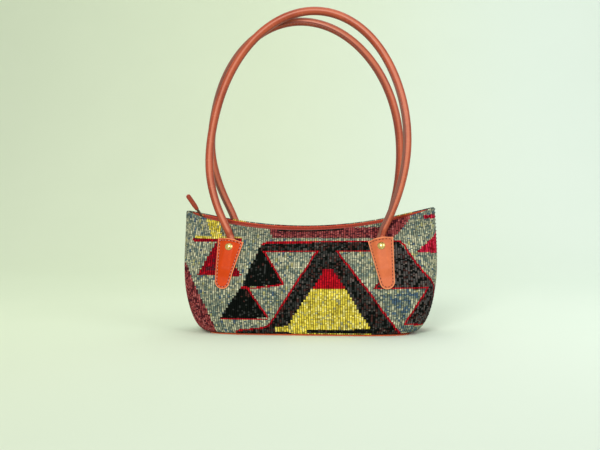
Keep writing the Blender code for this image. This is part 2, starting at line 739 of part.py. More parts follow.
def turned(name, profile, frame, sides=12):
    """A turned solid: the profile runs down the outside from top to bottom."""
    bm = bmesh.new()
    verts = [bm.verts.new((radius, 0, height)) for radius, height in profile]
    edges = [bm.edges.new(pair) for pair in zip(verts, verts[1:])]
    bmesh.ops.spin(bm, geom=verts + edges, cent=(0, 0, 0), axis=(0, 0, 1),
                   angle=2 * math.pi, steps=sides)
    bmesh.ops.remove_doubles(bm, verts=bm.verts[:], dist=0.00001)
    bmesh.ops.transform(bm, matrix=frame, verts=bm.verts[:])
    return mesh_from(bm, name)


def rivet_stack():
    """Heights from the cloth's outer face: under the head, and the inner cap's two faces."""
    under_head = tab_lift(0.0, RIVET_DROP) + TAB_THICKNESS + GAP
    cap_outer = -(CLOTH_THICKNESS + GAP)
    return under_head, cap_outer, cap_outer - RIVET_CAP_THICKNESS


def cut_rivet_hole(part, side, end):
    radius = RIVET_SHANK_RADIUS + HOLE_CLEARANCE
    turn = Matrix.Rotation(math.pi / 2, 4, "X")
    name = part.name + "_rivet_hole"
    cutter = pin(name, radius, HOLE_CUTTER_LENGTH, (0, 0, 0), rivet_frame(side, end) @ turn,
                 HOLE_CUTTER_SIDES)
    boolean(part, cutter, "DIFFERENCE")


def make_rivet(side_name, end_name):
    """A brass rivet with a domed head, and the cap on its shank inside the bag."""
    frame = rivet_frame(SIDES[side_name], ENDS[end_name])
    under_head, cap_outer, cap_inner = rivet_stack()
    dome = [(RIVET_HEAD_RADIUS * math.sin(turn), under_head + RIVET_RIM_HEIGHT
             + (RIVET_HEAD_HEIGHT - RIVET_RIM_HEIGHT) * math.cos(turn))
            for turn in np.linspace(0, math.pi / 2, 5)]
    shank = RIVET_SHANK_RADIUS
    profile = dome + [(RIVET_HEAD_RADIUS * RIVET_UNDERSIDE, under_head), (shank, under_head),
                      (shank, cap_inner + GAP), (0.0, cap_inner + GAP)]
    name = side_name + "_" + end_name + "_rivet"
    add_part(name, turned(name, profile, frame), BRASS)
    hole = shank + GAP
    profile = [(hole, cap_outer), (RIVET_CAP_RADIUS, cap_outer),
               (RIVET_CAP_RADIUS, cap_inner), (hole, cap_inner), (hole, cap_outer)]
    name += "_cap"
    add_part(name, turned(name, profile, frame), BRASS)


def build():
    for side_name, side in SIDES.items():
        panel = make_panel(side_name + "_panel", side)
        for end in ENDS.values():
            cut_rivet_hole(panel, side, end)
        make_facing(side_name + "_facing", side)
        make_zip_tape(side_name + "_zip_tape", side)
        make_handle(side_name)
        for end_name in ENDS:
            make_handle_end(side_name, end_name)
            make_tab(side_name, end_name)
            make_rivet(side_name, end_name)
    make_base()
    make_lining()
    for end_name, end in ENDS.items():
        make_zip_stop(end_name + "_zip_stop", end)
    make_slider()


build()
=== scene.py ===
"""A baguette bag of ribbed kilim cloth with two rolled leather handles, dressed over its solids."""

import math

import bmesh
import bpy
import numpy as np
from mathutils import Matrix, Vector


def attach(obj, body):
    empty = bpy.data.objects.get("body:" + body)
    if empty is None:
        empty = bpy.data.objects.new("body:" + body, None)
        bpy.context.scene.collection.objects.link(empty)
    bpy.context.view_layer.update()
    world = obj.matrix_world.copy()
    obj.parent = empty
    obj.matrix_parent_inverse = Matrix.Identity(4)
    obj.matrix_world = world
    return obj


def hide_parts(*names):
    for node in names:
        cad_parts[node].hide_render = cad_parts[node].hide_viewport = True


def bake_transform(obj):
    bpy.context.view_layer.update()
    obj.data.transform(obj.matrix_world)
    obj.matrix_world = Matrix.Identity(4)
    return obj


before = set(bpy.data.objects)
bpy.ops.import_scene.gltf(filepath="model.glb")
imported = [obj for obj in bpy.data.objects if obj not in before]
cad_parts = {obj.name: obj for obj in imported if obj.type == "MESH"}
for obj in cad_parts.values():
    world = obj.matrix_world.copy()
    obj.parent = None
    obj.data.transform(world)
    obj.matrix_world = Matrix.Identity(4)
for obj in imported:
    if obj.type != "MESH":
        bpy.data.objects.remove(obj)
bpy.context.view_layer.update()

# ---------------------------------------------------------------- camera
# The view is a little right of the bag's front and just above its belly,
# with the small roll of a camera held by hand.
CAMERA_DISTANCE = 1.1055
CAMERA_HEIGHT = 0.1899
CAMERA_AIM = -0.0104
CAMERA_AZIMUTH = math.radians(10.1)
CAMERA_PITCH = math.radians(2.69)
CAMERA_ROLL = math.radians(1.114)
forward = Vector((-math.sin(CAMERA_AZIMUTH) * math.cos(CAMERA_PITCH),
                  math.cos(CAMERA_AZIMUTH) * math.cos(CAMERA_PITCH),
                  -math.sin(CAMERA_PITCH)))
level_right = Vector((math.cos(CAMERA_AZIMUTH), math.sin(CAMERA_AZIMUTH), 0.0))
level_up = level_right.cross(forward)
right = level_right * math.cos(CAMERA_ROLL) - level_up * math.sin(CAMERA_ROLL)
up = level_right * math.sin(CAMERA_ROLL) + level_up * math.cos(CAMERA_ROLL)
lens = bpy.data.cameras.new("camera")
lens.sensor_width = 36.0
lens.lens = 51.0
camera = bpy.data.objects.new("camera", lens)
bpy.context.scene.collection.objects.link(camera)
camera.matrix_world = Matrix((
    (right.x, up.x, -forward.x, CAMERA_AIM + CAMERA_DISTANCE * math.sin(CAMERA_AZIMUTH)),
    (right.y, up.y, -forward.y, -CAMERA_DISTANCE * math.cos(CAMERA_AZIMUTH)),
    (right.z, up.z, -forward.z, CAMERA_HEIGHT),
    (0.0, 0.0, 0.0, 1.0)))
bpy.context.scene.camera = camera

# ---------------------------------------------------------------- kilim body
# Two panels of flat-woven wool, cut from one rug, make the front and the back.
# Each is 3 mm thick: the weft covers the warps, so every warp stands as a rib.
CLOTH = 0.003
GAP = 0.0003
BASE_THICKNESS = 0.0018
HEM_Z = BASE_THICKNESS + GAP
BASE_HALF_WIDTH, BASE_HALF_DEPTH = 0.131, 0.040
BELLY_HALF_WIDTH, BELLY_HALF_DEPTH = 0.165, 0.044
TOP_HALF_WIDTH, TOP_HALF_DEPTH = 0.161, 0.017
BELLY_HEIGHT = 0.105
CORNER_FLARE = 0.0022
TOP_MIDDLE = 0.132
TOP_SAG = 0.024
BACK_RISE = 0.0045
BACK_RISE_FLATNESS = 8
CORNER_RISE, CORNER_RISE_FLATNESS = 0.0026, 7
SECTION_POINTS = 720
DEPTH_PEAK = 0.36
CORNER_ROLL = 2.3
DEPTH_TAPER = 1.2
BASE_SQUARENESS, TOP_SQUARENESS = 4.5, 3.0
ARC_RADIUS = (TOP_HALF_WIDTH ** 2 + TOP_SAG ** 2) / (2 * TOP_SAG)
ARC_CENTRE_Z = TOP_MIDDLE + ARC_RADIUS
SIDES = {"front": -1, "back": 1}
ENDS = {"left": -1, "right": 1}
WARPS = 128
WARP_CELLS = 3
COLUMNS = WARP_CELLS * WARPS
STRAIGHT_ROWS = 78
TOP_ROWS = 20
ROWS = STRAIGHT_ROWS + TOP_ROWS
STRAIGHT_TOP_Z = 0.120
PANEL_LEVELS = 120
RIB_HEIGHT, GROOVE_DEPTH, PASS_HEIGHT = 0.0005, 0.00012, 0.00007
SLACK = 0.0009
HEM_ROWS, HEM_TURN = 3, 0.0007
END_SHARE, END_TURN = 0.015, 0.0005
WARP_DRIFT = 0.00022


def arc_height(x):
    """The line on which the mouth and its zip sag."""
    return ARC_CENTRE_Z - np.sqrt(ARC_RADIUS ** 2 - np.square(x))


def top_edge(x, side):
    """The height of a panel's upper edge: the back one stands a little higher."""
    x = np.minimum(np.abs(x), TOP_HALF_WIDTH)
    rise = BACK_RISE * (1 - (x / TOP_HALF_WIDTH) ** BACK_RISE_FLATNESS)
    corner = CORNER_RISE * (x / TOP_HALF_WIDTH) ** CORNER_RISE_FLATNESS
    return arc_height(x) + corner + (rise if side > 0 else 0.0)


def half_width(level):
    """Half the body's width at a level from 0 at the hem to 1 at the mouth."""
    z = HEM_Z + level * (TOP_MIDDLE + TOP_SAG - HEM_Z)
    if z >= BELLY_HEIGHT:
        above = (z - BELLY_HEIGHT) / (TOP_MIDDLE + TOP_SAG - BELLY_HEIGHT)
        narrowing = BELLY_HALF_WIDTH - TOP_HALF_WIDTH - CORNER_FLARE * above
        return BELLY_HALF_WIDTH - narrowing * above ** 2
    below = min((BELLY_HEIGHT - z) / (BELLY_HEIGHT - HEM_Z), 1.0)
    share = (1 - below ** CORNER_ROLL) ** (1 / CORNER_ROLL)
    return BASE_HALF_WIDTH + (BELLY_HALF_WIDTH - BASE_HALF_WIDTH) * share


def half_depth(level):
    if level >= DEPTH_PEAK:
        above = (level - DEPTH_PEAK) / (1 - DEPTH_PEAK)
        return BELLY_HALF_DEPTH - (BELLY_HALF_DEPTH - TOP_HALF_DEPTH) * above ** DEPTH_TAPER
    below = (DEPTH_PEAK - level) / DEPTH_PEAK
    share = (1 - below ** CORNER_ROLL) ** (1 / CORNER_ROLL)
    return BASE_HALF_DEPTH + (BELLY_HALF_DEPTH - BASE_HALF_DEPTH) * share


def squareness(level):
    return BASE_SQUARENESS + (TOP_SQUARENESS - BASE_SQUARENESS) * level


def run_along(xs, ys):
    """The length of a line from its start to each of its points."""
    return np.concatenate([[0.0], np.cumsum(np.hypot(np.diff(xs), np.diff(ys)))])


def section_curve(level, inset=0.0, end_inset=0.0):
    """The body's outline from the left end to the right end at a level, with its run."""
    angles = np.linspace(math.pi, 0, SECTION_POINTS + 1)
    power = 2 / squareness(level)
    xs = ((half_width(level) - inset - end_inset)
          * np.sign(np.cos(angles)) * np.abs(np.cos(angles)) ** power)
    ys = (half_depth(level) - inset) * np.abs(np.sin(angles)) ** power
    return xs, ys, run_along(xs, ys)


PANEL_HALF_RUN = section_curve(0.5)[2][-1] / 2
SAME_PLACE = 0.000002


def section_table(levels, count, inset=0.0, end_inset=0.0):
    """Points and outward directions over one side, for each level and each column."""
    even = np.linspace(-1, 1, count + 1)
    table = np.zeros((len(levels), count + 1, 4))
    for i, level in enumerate(levels):
        xs, ys, run = section_curve(level, inset, end_inset)
        half = run[-1] / 2
        spread = even * PANEL_HALF_RUN + (half - PANEL_HALF_RUN) * even ** 3
        x = np.interp(spread + half, run, xs)
        y = np.interp(spread + half, run, ys)
        out_x, out_y = -np.gradient(y), np.gradient(x)
        length = np.hypot(out_x, out_y)
        table[i] = np.stack([x, y, out_x / length, out_y / length], axis=1)
    return table


def mapped_grid(columns, rows, place, closed=False, capped=False):
    """A grid whose crossings go where place(column, row) says, with its own UV map.

    Closed joins its first and last columns, and capped also fills its two open ends.
    """
    bm = bmesh.new()
    bmesh.ops.create_grid(bm, x_segments=columns, y_segments=rows, size=1.0)
    layer = bm.loops.layers.uv.new("run")
    for face in bm.faces:
        for loop in face.loops:
            loop[layer].uv = ((loop.vert.co.x + 1) / 2, (loop.vert.co.y + 1) / 2)
    flat = np.array([vert.co[:2] for vert in bm.verts])
    column = np.rint((flat[:, 0] + 1) / 2 * columns).astype(int)
    row = np.rint((flat[:, 1] + 1) / 2 * rows).astype(int)
    for vert, point in zip(bm.verts, place(column, row)):
        vert.co = point
    if closed:
        bmesh.ops.remove_doubles(bm, verts=bm.verts[:], dist=SAME_PLACE)
        bmesh.ops.recalc_face_normals(bm, faces=bm.faces[:])
    if capped:
        bmesh.ops.holes_fill(bm, edges=bm.edges[:], sides=0)
        bmesh.ops.recalc_face_normals(bm, faces=bm.faces[:])
    return bm


def shown(name, data):
    """An object put into the scene."""
    made = bpy.data.objects.new(name, data)
    bpy.context.scene.collection.objects.link(made)
    return made


def piece(name, bm, material, body="bag", smooth=True):
    """A finished piece from its bmesh, riding on a body of the model."""
    mesh = bpy.data.meshes.new(name)
    bm.to_mesh(mesh)
    bm.free()
    if smooth:
        mesh.shade_smooth()
    mesh.materials.append(material)
    made = shown(name, mesh)
    if body:
        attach(made, body)
    return made


def wall(made, thickness):
    """Gives a sheet its thickness, inwards from the face that shows."""
    step = made.modifiers.new("thickness", "SOLIDIFY")
    step.thickness = thickness
    step.offset = -1.0


def dye(red, green, blue):
    """A colour as the eye names it, turned into the amount of light it sends back."""
    shares = np.array([red, green, blue]) / 255
    low = shares / 12.92
    return np.append(np.where(shares <= 0.04045, low, ((shares + 0.055) / 1.055) ** 2.4), 1.0)


class Value:
    """A socket in a node tree, so that a sum written on it adds its Math nodes."""

    def __init__(self, graph, socket):
        self.graph = graph
        self.socket = socket

    def math(self, operation, first, second=0.0):
        return self.graph.add("ShaderNodeMath", {"operation": operation}, {0: first, 1: second})

    def __add__(self, other):
        return self.math("ADD", self, other)

    def __sub__(self, other):
        return self.math("SUBTRACT", self, other)

    def __rsub__(self, other):
        return self.math("SUBTRACT", other, self)

    def __mul__(self, other):
        return self.math("MULTIPLY", self, other)

    __radd__ = __add__
    __rmul__ = __mul__

    def floor(self):
        return self.math("FLOOR", self)

    def sine(self):
        return self.math("SINE", self)

    def to_and_fro(self):
        """Up to a half and back again over every whole step."""
        return self.math("PINGPONG", self, 0.5)


class Graph:
    """A node tree that grows one node at a time."""

    def __init__(self, tree):
        self.nodes = tree.nodes
        self.links = tree.links

    def add(self, kind, settings=None, sockets=None, output=0):
        """A node with its settings made first and then its sockets set or linked."""
        node = self.nodes.new(kind)
        for name, value in (settings or {}).items():
            setattr(node, name, value)
        for key, value in (sockets or {}).items():
            self.feed(node.inputs[key], value)
        return Value(self, node.outputs[output])

    def feed(self, socket, value):
        if isinstance(value, Value):
            self.links.new(value.socket, socket)
        else:
            socket.default_value = value


class Finish(Graph):
    """A material built node by node around one Principled shader."""

    def __init__(self, name, roughness, metallic=0.0, specular=0.5, coat=(0.0, 0.03)):
        self.material = bpy.data.materials.new(name)
        self.material.use_nodes = True
        super().__init__(self.material.node_tree)
        self.shader = self.nodes["Principled BSDF"]
        self.set("Roughness", roughness)
        self.set("Metallic", metallic)
        self.set("Specular IOR Level", specular)
        self.set("Coat Weight", coat[0])
        self.set("Coat Roughness", coat[1])

    def set(self, name, value):
        self.feed(self.shader.inputs[name], value)

    def mix(self, share, first, second, blend="MIX"):
        return self.add("ShaderNodeMix", {"data_type": "RGBA", "blend_type": blend},
                        {0: share, 6: first, 7: second}, output=2)

    def smooth(self, value, low, high):
        """0 below low, 1 above high, with a soft change between."""
        return self.add("ShaderNodeMapRange", {"interpolation_type": "SMOOTHSTEP"},
                        {0: value, 1: low, 2: high})

    def noise(self, scale, vector=None, detail=3.0, roughness=0.5, stretch=None):
        if vector is None:
            vector = self.place()
        if stretch:
            vector = self.add("ShaderNodeMapping", None, {"Vector": vector, "Scale": stretch})
        return self.add("ShaderNodeTexNoise", None,
                        {"Vector": vector, "Scale": scale, "Detail": detail,
                         "Roughness": roughness})

    def place(self):
        """Where a point is on the object, in metres."""
        return self.add("ShaderNodeTexCoord", output="Object")

    def parts(self, vector):
        """The first two numbers of a vector."""
        return [self.add("ShaderNodeSeparateXYZ", None, {0: vector}, output=k) for k in (0, 1)]

    def along(self):
        """The two directions of the piece's own UV map."""
        return self.parts(self.add("ShaderNodeUVMap", {"uv_map": "run"}))

    def measured(self, name):
        """A number that the piece's mesh carries for every vertex."""
        return self.add("ShaderNodeAttribute", {"attribute_name": name}, output=2)

    def vector(self, x=0.0, y=0.0, z=0.0):
        return self.add("ShaderNodeCombineXYZ", None, {0: x, 1: y, 2: z})

    def dimmed(self, colour, light):
        """A colour times a number."""
        return self.mix(1.0, colour, self.vector(light, light, light), "MULTIPLY")

    def relief(self, height, distance, strength=1.0):
        self.set("Normal", self.add("ShaderNodeBump", None,
                                    {"Strength": strength, "Distance": distance,
                                     "Height": height}))


YARNS = {
    "sage": dye(129, 134, 115), "pale": dye(168, 166, 139), "slate": dye(92, 105, 97),
    "sea": dye(68, 88, 104), "straw": dye(156, 152, 104),
    "black": dye(8, 12, 9), "soot": dye(45, 46, 44), "char_painted_lit": dye(68, 65, 64),
    "ash": dye(80, 72, 68), "brown": dye(58, 34, 30),
    "maroon": dye(136, 60, 60), "plum": dye(76, 29, 36), "rose": dye(160, 88, 86),
    "yellow": dye(209, 189, 66), "olive": dye(168, 150, 52), "butter": dye(220, 206, 114),
    "red": dye(162, 13, 25), "dark_red": dye(128, 9, 24), "raspberry": dye(176, 32, 56),
}
# Each dye lot: its main yarn and the yarns that fleck it, with their shares
MIXES = {
    "sage": ("sage", (("pale", 0.32), ("slate", 0.28), ("sea", 0.03), ("straw", 0.05))),
    "blue": ("sea", (("slate", 0.30), ("sage", 0.26), ("pale", 0.12))),
    "black": ("black", (("brown", 0.04), ("soot", 0.15))),
    "sooty": ("soot", (("black", 0.32), ("brown", 0.20), ("ash", 0.08))),
    # painted light: a paler black for the right-hand figures, where more light falls
    "black_painted_lit": ("char_painted_lit", (("black", 0.26), ("brown", 0.16), ("ash", 0.16))),
    "maroon": ("maroon", (("plum", 0.30), ("rose", 0.14))),
    "yellow": ("yellow", (("olive", 0.17), ("butter", 0.22), ("straw", 0.06))),
    "red": ("red", (("dark_red", 0.22),)),
    "dark_red": ("dark_red", (("plum", 0.12), ("red", 0.18))),
    "raspberry": ("raspberry", (("dark_red", 0.25),)),
}
# The pattern in millimetres of cloth from the middle and of height above the floor
FRONT_PATTERN = (
    ("blue", ((-200, 170), (-128, 170), (-128, 147), (-200, 152))),
    ("maroon", ((-163, 92), (-157, 84), (-150, 72), (-139, 53), (-128, 32), (-118, 11),
                (-115, 0), (-156, -15), (-199, 12), (-218, 90))),
    ("yellow", ((-135, 153), (-116, 149), (-110, 124), (-124, 126))),
    ("yellow", ((-149, 126), (-85, 125), (-84, 122.8), (-149, 123.2))),
    ("dark_red", ((-151, 123), (-84, 123), (-83, 119), (-150, 119))),
    ("dark_red", ((-114, 123), (-82, 77), (-83, 75), (-141, 76), (-141, 77))),
    ("black", ((-55, 114), (-60, 110), (-63, 100), (-70, 88), (-74, 78), (-80, 61),
               (-26, 65), (-52, 104))),
    ("black", ((-80, 63), (-87, 53), (-98, 39), (-110, 21), (-46, 23), (-73, 63))),
    ("maroon", ((-50, 139), (-43, 123), (109, 121), (118, 127), (129, 140), (136, 153),
                (101, 150), (57, 135), (51, 136), (51, 141), (0, 141))),
    ("sage", ((48, 141), (51, 135), (105, 135), (105, 154))),
    # painted shade: a black stripe along the middle of the front's top edge stands for the shade
    # under the facing; the back repeats it
    ("black", ((-38, 131.4), (0, 130.0), (25, 130.6), (48, 132), (48, 136), (25, 135),
               (0, 134), (-38, 135))),
    ("blue", ((-170, 162), (-137, 152), (-137, 148), (-170, 155))),
    ("blue", ((44, 139), (100, 143), (100, 140), (58, 135.5))),
    ("sooty", ((-58, 116), (4, 116), (8, 118.2), (122, 118.2), (125, 106), (-60, 107))),
    ("sooty", ((16, 107), (11, 99), (2, 84), (-5, 74), (-10, 67), (-20, 51), (-28, 37),
               (-39, 22), (-46, 13), (-52, 10), (-88, 5), (-89, -7), (156, -14), (156, -1),
               (120, 3), (117, 8), (109, 18), (102, 28), (94, 39), (87, 50), (79, 60),
               (72, 69), (65, 75), (59, 84), (48, 97), (41, 107))),
    ("red", ((25, 84), (36, 84), (39, 79), (45, 72), (52, 60), (11, 60), (17, 68), (22, 76))),
    ("yellow", ((11, 60), (52, 60), (58, 52), (63, 44), (69, 32), (76, 22), (84, 10),
                (86, -5), (-5, -5), (-22, 5), (-39, 6), (-39, 10), (-20, 13), (-13, 26),
                (-5, 37), (6, 53))),
    ("black", ((4, 7.6), (90, 9.5), (90, 4.0), (4, 4.2))),
    # painted light: the black figures at the right end are painted paler, as light falls there
    ("black_painted_lit", ((102, 107), (120, 116), (131, 103), (139, 94), (150, 79), (159, 72),
               (168, 62), (200, 58), (156, 58), (89, 61), (101, 85))),
    ("black_painted_lit", ((155, 60), (200, 60), (200, 33), (153, 13), (126, 16))),
    ("blue", ((95, 51), (146, 56), (127, 22), (106, 22))),
    ("blue", ((119, 13), (150, 11), (156, 0), (119, 6))),
    ("blue", ((137, 152), (200, 163), (200, 151), (141, 144))),
    ("raspberry", ((149, 149), (200, 152), (200, 145), (149, 145))),
    ("raspberry", ((177, 134), (202, 136), (208, 99), (141, 104))),
)
# Single passes of red weft that outline the figures
FRONT_OUTLINES = (
    ((-56, 115), (-50, 117), (120, 117.5), (126, 112), (131, 103), (150, 79), (159, 71),
     (168, 62), (172, 46)),
    ((-54, 106), (17, 106)), ((41, 106), (84, 106)),
    ((-52, 105), (-26, 65)), ((-80, 61), (-62, 60.5), (-26, 65)),
    ((-74, 62), (-46, 23)), ((-108, 20.5), (-48, 20.5)),
    ((16, 106), (11, 99), (2, 84), (-5, 74), (-20, 51), (-39, 22), (-46, 13), (-52, 10),
     (-88, 6), (-89, 0)),
    ((42, 105), (48, 97), (59, 84), (65, 76), (79, 60), (87, 50), (94, 39), (109, 18),
     (117, 7), (120, 3), (156, 2)),
    ((94, 66), (89, 60), (156, 60.5)), ((155, 58), (126, 16)), ((126, 15.5), (153, 13)),
    ((104, 106), (102, 96)),
)


def mirrored(path):
    return tuple((-s, z) for s, z in path)


# The back repeats the front the other way round, with a yellow patch that shows over the mouth
BACK_PATTERN = tuple((lot, mirrored(shape)) for lot, shape in FRONT_PATTERN)
BACK_PATTERN += (("yellow", ((-104, 170), (-84, 170), (-84, 139), (-104, 143))),)
BACK_OUTLINES = tuple(mirrored(path) for path in FRONT_OUTLINES)
OUTLINE_HALF = 0.95
BAND_ROWS = 5
# How often a fleck runs on into the next row, and how much cells, warps and bands vary
RUN_ON, CELL_SPREAD, WARP_SPREAD, BAND_SPREAD = 0.30, 0.16, 0.07, 0.07


def inside(shape, s, z):
    """Which cells of the weave have their middle within a shape."""
    within = np.zeros(s.shape, bool)
    for (s1, z1), (s2, z2) in zip(shape, shape[1:] + shape[:1]):
        if z1 == z2:
            continue
        crossed = (z1 > z) != (z2 > z)
        within ^= crossed & (s < s1 + (z - z1) * (s2 - s1) / (z2 - z1))
    return within


def woven_colours(pattern, outlines, s, z, seed):
    """A yarn colour for every cell of the weave, the same over the cells of one warp."""
    draw = np.random.default_rng(seed)
    on_warp = s[:, 1::WARP_CELLS].repeat(WARP_CELLS, axis=1)
    lots = np.full(s.shape, "sage", dtype=object)
    for lot, shape in pattern:
        lots[inside(shape, on_warp, z)] = lot
    for path in outlines:
        for (s1, z1), (s2, z2) in zip(path, path[1:]):
            for share in np.linspace(0, 1, 2 + int(2 * math.hypot(s2 - s1, z2 - z1))):
                near = np.abs(z - z1 - (z2 - z1) * share) < OUTLINE_HALF
                lots[near & (np.abs(s - s1 - (s2 - s1) * share) < OUTLINE_HALF)] = "red"
    colours = np.zeros(s.shape + (4,))
    cells = (s.shape[0], s.shape[1] // WARP_CELLS)
    speck = draw.random(cells)
    run_on = draw.random(cells) < RUN_ON
    for row in range(1, s.shape[0]):
        speck[row] = np.where(run_on[row], speck[row - 1], speck[row])
    speck = speck.repeat(WARP_CELLS, axis=1)
    shade = draw.normal(0, CELL_SPREAD, cells) + draw.normal(0, WARP_SPREAD, cells[1])
    shade = shade.repeat(WARP_CELLS, axis=1)
    bands = draw.normal(0, BAND_SPREAD, 1 + s.shape[0] // BAND_ROWS)
    bands = np.repeat(bands, BAND_ROWS)[:s.shape[0]]
    shade += bands[:, None] * (0.6 + 0.4 * np.sin(s / 37.0 + z / 50.0))
    for lot, (main, flecks) in MIXES.items():
        here = lots == lot
        colours[here] = YARNS[main]
        reached = 0.0
        for yarn, share in flecks:
            chosen = here & (speck >= reached) & (speck < reached + share)
            colours[chosen] = YARNS[yarn]
            reached += share
    colours[..., :3] *= np.exp(shade)[..., None]
    return colours


def kilim_finish():
    """Wool weft packed over the warps: dull, hairy, with painted shade between the ribs and between
    the weft passes.
    """
    wool = Finish("kilim_wool", 0.92, specular=0.06)
    across, high = wool.along()
    warp = across * WARPS
    weft = high * (ROWS * 2.0)
    from_crest = (warp + 0.5).to_and_fro() * 2.0
    lay = warp.floor()
    turn = weft + lay * 0.5
    pass_round = (turn * (2 * math.pi)).sine() * 0.5 + 0.5
    hair = wool.noise(900.0, detail=2.0)
    smudge = wool.noise(60.0, detail=4.0)
    fleck = wool.add("ShaderNodeTexWhiteNoise", {"noise_dimensions": "2D"},
                     {"Vector": wool.vector(lay, turn.floor())})
    yarn = wool.add("ShaderNodeAttribute", {"attribute_name": "yarn"})
    # painted shade: the colour is darkened in the grooves between ribs and in the dips between weft
    # passes
    painted_groove_shade = wool.smooth(from_crest, 0.30, 0.95)
    light = ((1.30 - painted_groove_shade * 0.98) * (0.80 + fleck * 0.34 + hair * 0.16)
             * (0.86 + pass_round * 0.14) * (0.86 + smudge * 0.28))
    wool.set("Base Color", wool.dimmed(yarn, light))
    wool.relief((1.0 - from_crest) * 0.7 + pass_round * 0.35 + hair * 0.35, 0.0005, 0.8)
    return wool.material


KILIM = kilim_finish()


def kilim_panel(side_name, pattern, outlines, seed):
    side = SIDES[side_name]
    levels = np.linspace(0, 1, PANEL_LEVELS + 1)
    table = section_table(levels, COLUMNS)
    draw = np.random.default_rng(seed)
    sway = draw.uniform(0, 2 * math.pi, WARPS + 1)
    straight = HEM_Z + (STRAIGHT_TOP_Z - HEM_Z) * np.arange(STRAIGHT_ROWS + 1) / STRAIGHT_ROWS

    def place(column, row):
        x = table[PANEL_LEVELS // 2, column, 0]
        above = np.clip((row - STRAIGHT_ROWS) / TOP_ROWS, 0, 1)
        for _ in range(5):
            top = top_edge(x, side)
            z = np.where(row <= STRAIGHT_ROWS, straight[np.minimum(row, STRAIGHT_ROWS)],
                         STRAIGHT_TOP_Z + above * (top - STRAIGHT_TOP_Z))
            level = np.clip((z - HEM_Z) / (top - HEM_Z), 0, 1) * PANEL_LEVELS
            low = np.minimum(level.astype(int), PANEL_LEVELS - 1)
            share = (level - low)[:, None]
            at = table[low, column] * (1 - share) + table[low + 1, column] * share
            x = at[:, 0]
        warp = column // WARP_CELLS
        rib = np.where(column % WARP_CELLS == 0, -GROOVE_DEPTH, RIB_HEIGHT)
        rib = rib + PASS_HEIGHT * np.sin(row * 2.1 + warp * math.pi)
        slack = SLACK * (0.5 + 0.5 * np.sin(at[:, 0] * 41 + side) * np.sin(z * 47 + 1.3 * side))
        edge = np.clip((row - (ROWS - HEM_ROWS)) / HEM_ROWS, 0, 1)
        ends = np.clip(np.abs(column / COLUMNS - 0.5) * 2 - (1 - END_SHARE), 0, 1) / END_SHARE
        lift = rib - slack - HEM_TURN * edge ** 2 - END_TURN * ends
        drift = WARP_DRIFT * np.sin(z * 130 + sway[warp]) * (1 - ends)
        x = at[:, 0] + at[:, 2] * lift + at[:, 3] * drift
        y = at[:, 1] + at[:, 3] * lift - at[:, 2] * drift
        return np.stack([x, side * (y + GAP / 2), z], axis=1)

    bm = mapped_grid(COLUMNS, ROWS, place)
    layer = bm.loops.layers.uv["run"]
    cells = np.array([(sum(loop[layer].uv.x for loop in face.loops) / 4 * COLUMNS,
                       sum(loop[layer].uv.y for loop in face.loops) / 4 * ROWS)
                      for face in bm.faces]).astype(int)
    if side > 0:
        bmesh.ops.reverse_faces(bm, faces=bm.faces[:])
    made = piece(side_name + "_kilim", bm, KILIM)
    columns = np.arange(COLUMNS)
    heights = np.array([place(columns, np.full(COLUMNS, row))[:, 2]
                        for row in range(ROWS + 1)]) * 1000
    middle_z = (heights[:-1] + heights[1:]) / 2
    even = (columns + 0.5) / COLUMNS * 2 - 1
    top_z = heights[-1]
    cell_level = np.clip((middle_z - HEM_Z * 1000) / (top_z - HEM_Z * 1000), 0, 1)
    half_runs = np.array([section_curve(level)[2][-1] / 2 for level in levels])
    half = np.interp(cell_level, levels, half_runs)
    middle_s = (even * PANEL_HALF_RUN + (half - PANEL_HALF_RUN) * even ** 3) * 1000
    colours = woven_colours(pattern, outlines, middle_s, middle_z, seed)
    per_face = colours[cells[:, 1], cells[:, 0]]
    yarn = made.data.attributes.new("yarn", "FLOAT_COLOR", "CORNER")
    yarn.data.foreach_set("color", np.repeat(per_face, 4, axis=0).astype(np.float32).ravel())
    wall(made, CLOTH - 0.0003)
    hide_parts(side_name + "_panel")
    2 * PANEL_HALF_RUN


kilim_panel("front", FRONT_PATTERN, FRONT_OUTLINES, 11)
kilim_panel("back", BACK_PATTERN, BACK_OUTLINES, 23)

# ---------------------------------------------------------------- end seams
# The two panels are sewn to each other down both ends, edge to edge, with
# whipped stitches of dark waxed thread.
SEAM_STITCHES = 34
SEAM_SUNK = 0.0009


def thread_finish(name, colour):
    thread = Finish(name, 0.7)
    twist = thread.noise(1800.0, detail=1.0)
    thread.set("Base Color", thread.mix(twist, colour * np.array([0.6, 0.6, 0.6, 1.0]), colour))
    thread.relief(twist, 0.0002)
    return thread.material


def stitch(bm, place, along, out, length, width, height):
    """One raised stitch: a drop of thread lying on a surface."""
    side = along.cross(out).normalized()
    flat = Matrix((along.normalized() * (length / 2), side * (width / 2),
                   out.normalized() * (height / 2))).transposed().to_4x4()
    bmesh.ops.create_uvsphere(bm, u_segments=6, v_segments=4, radius=1.0,
                              matrix=Matrix.Translation(place) @ flat)


SEAM_THREAD = thread_finish("seam_thread", dye(52, 60, 58))
for end_name, end in ENDS.items():
    seam = bmesh.new()
    for share in (np.arange(SEAM_STITCHES) + 0.5) / SEAM_STITCHES:
        x = half_width(share)
        z = HEM_Z + share * (float(top_edge(x, -1)) - HEM_Z)
        lean = Vector((0.0, 1.0, 0.45 * end))
        stitch(seam, Vector((end * (x - SEAM_SUNK), 0.0, z)), lean, Vector((end, 0, 0)),
               length=0.0052, width=0.0011, height=0.0030)
    piece(end_name + "_seam_thread", seam, SEAM_THREAD)

# ---------------------------------------------------------------- leather base
# One piece of tan leather makes the flat bottom, its edge rounded over and
# sewn to the cloth's hem with a line of pale thread round the underside.
BASE_POINTS = 160
SEAM_INSET, SEAM_CHANNEL = 0.0045, 0.00025
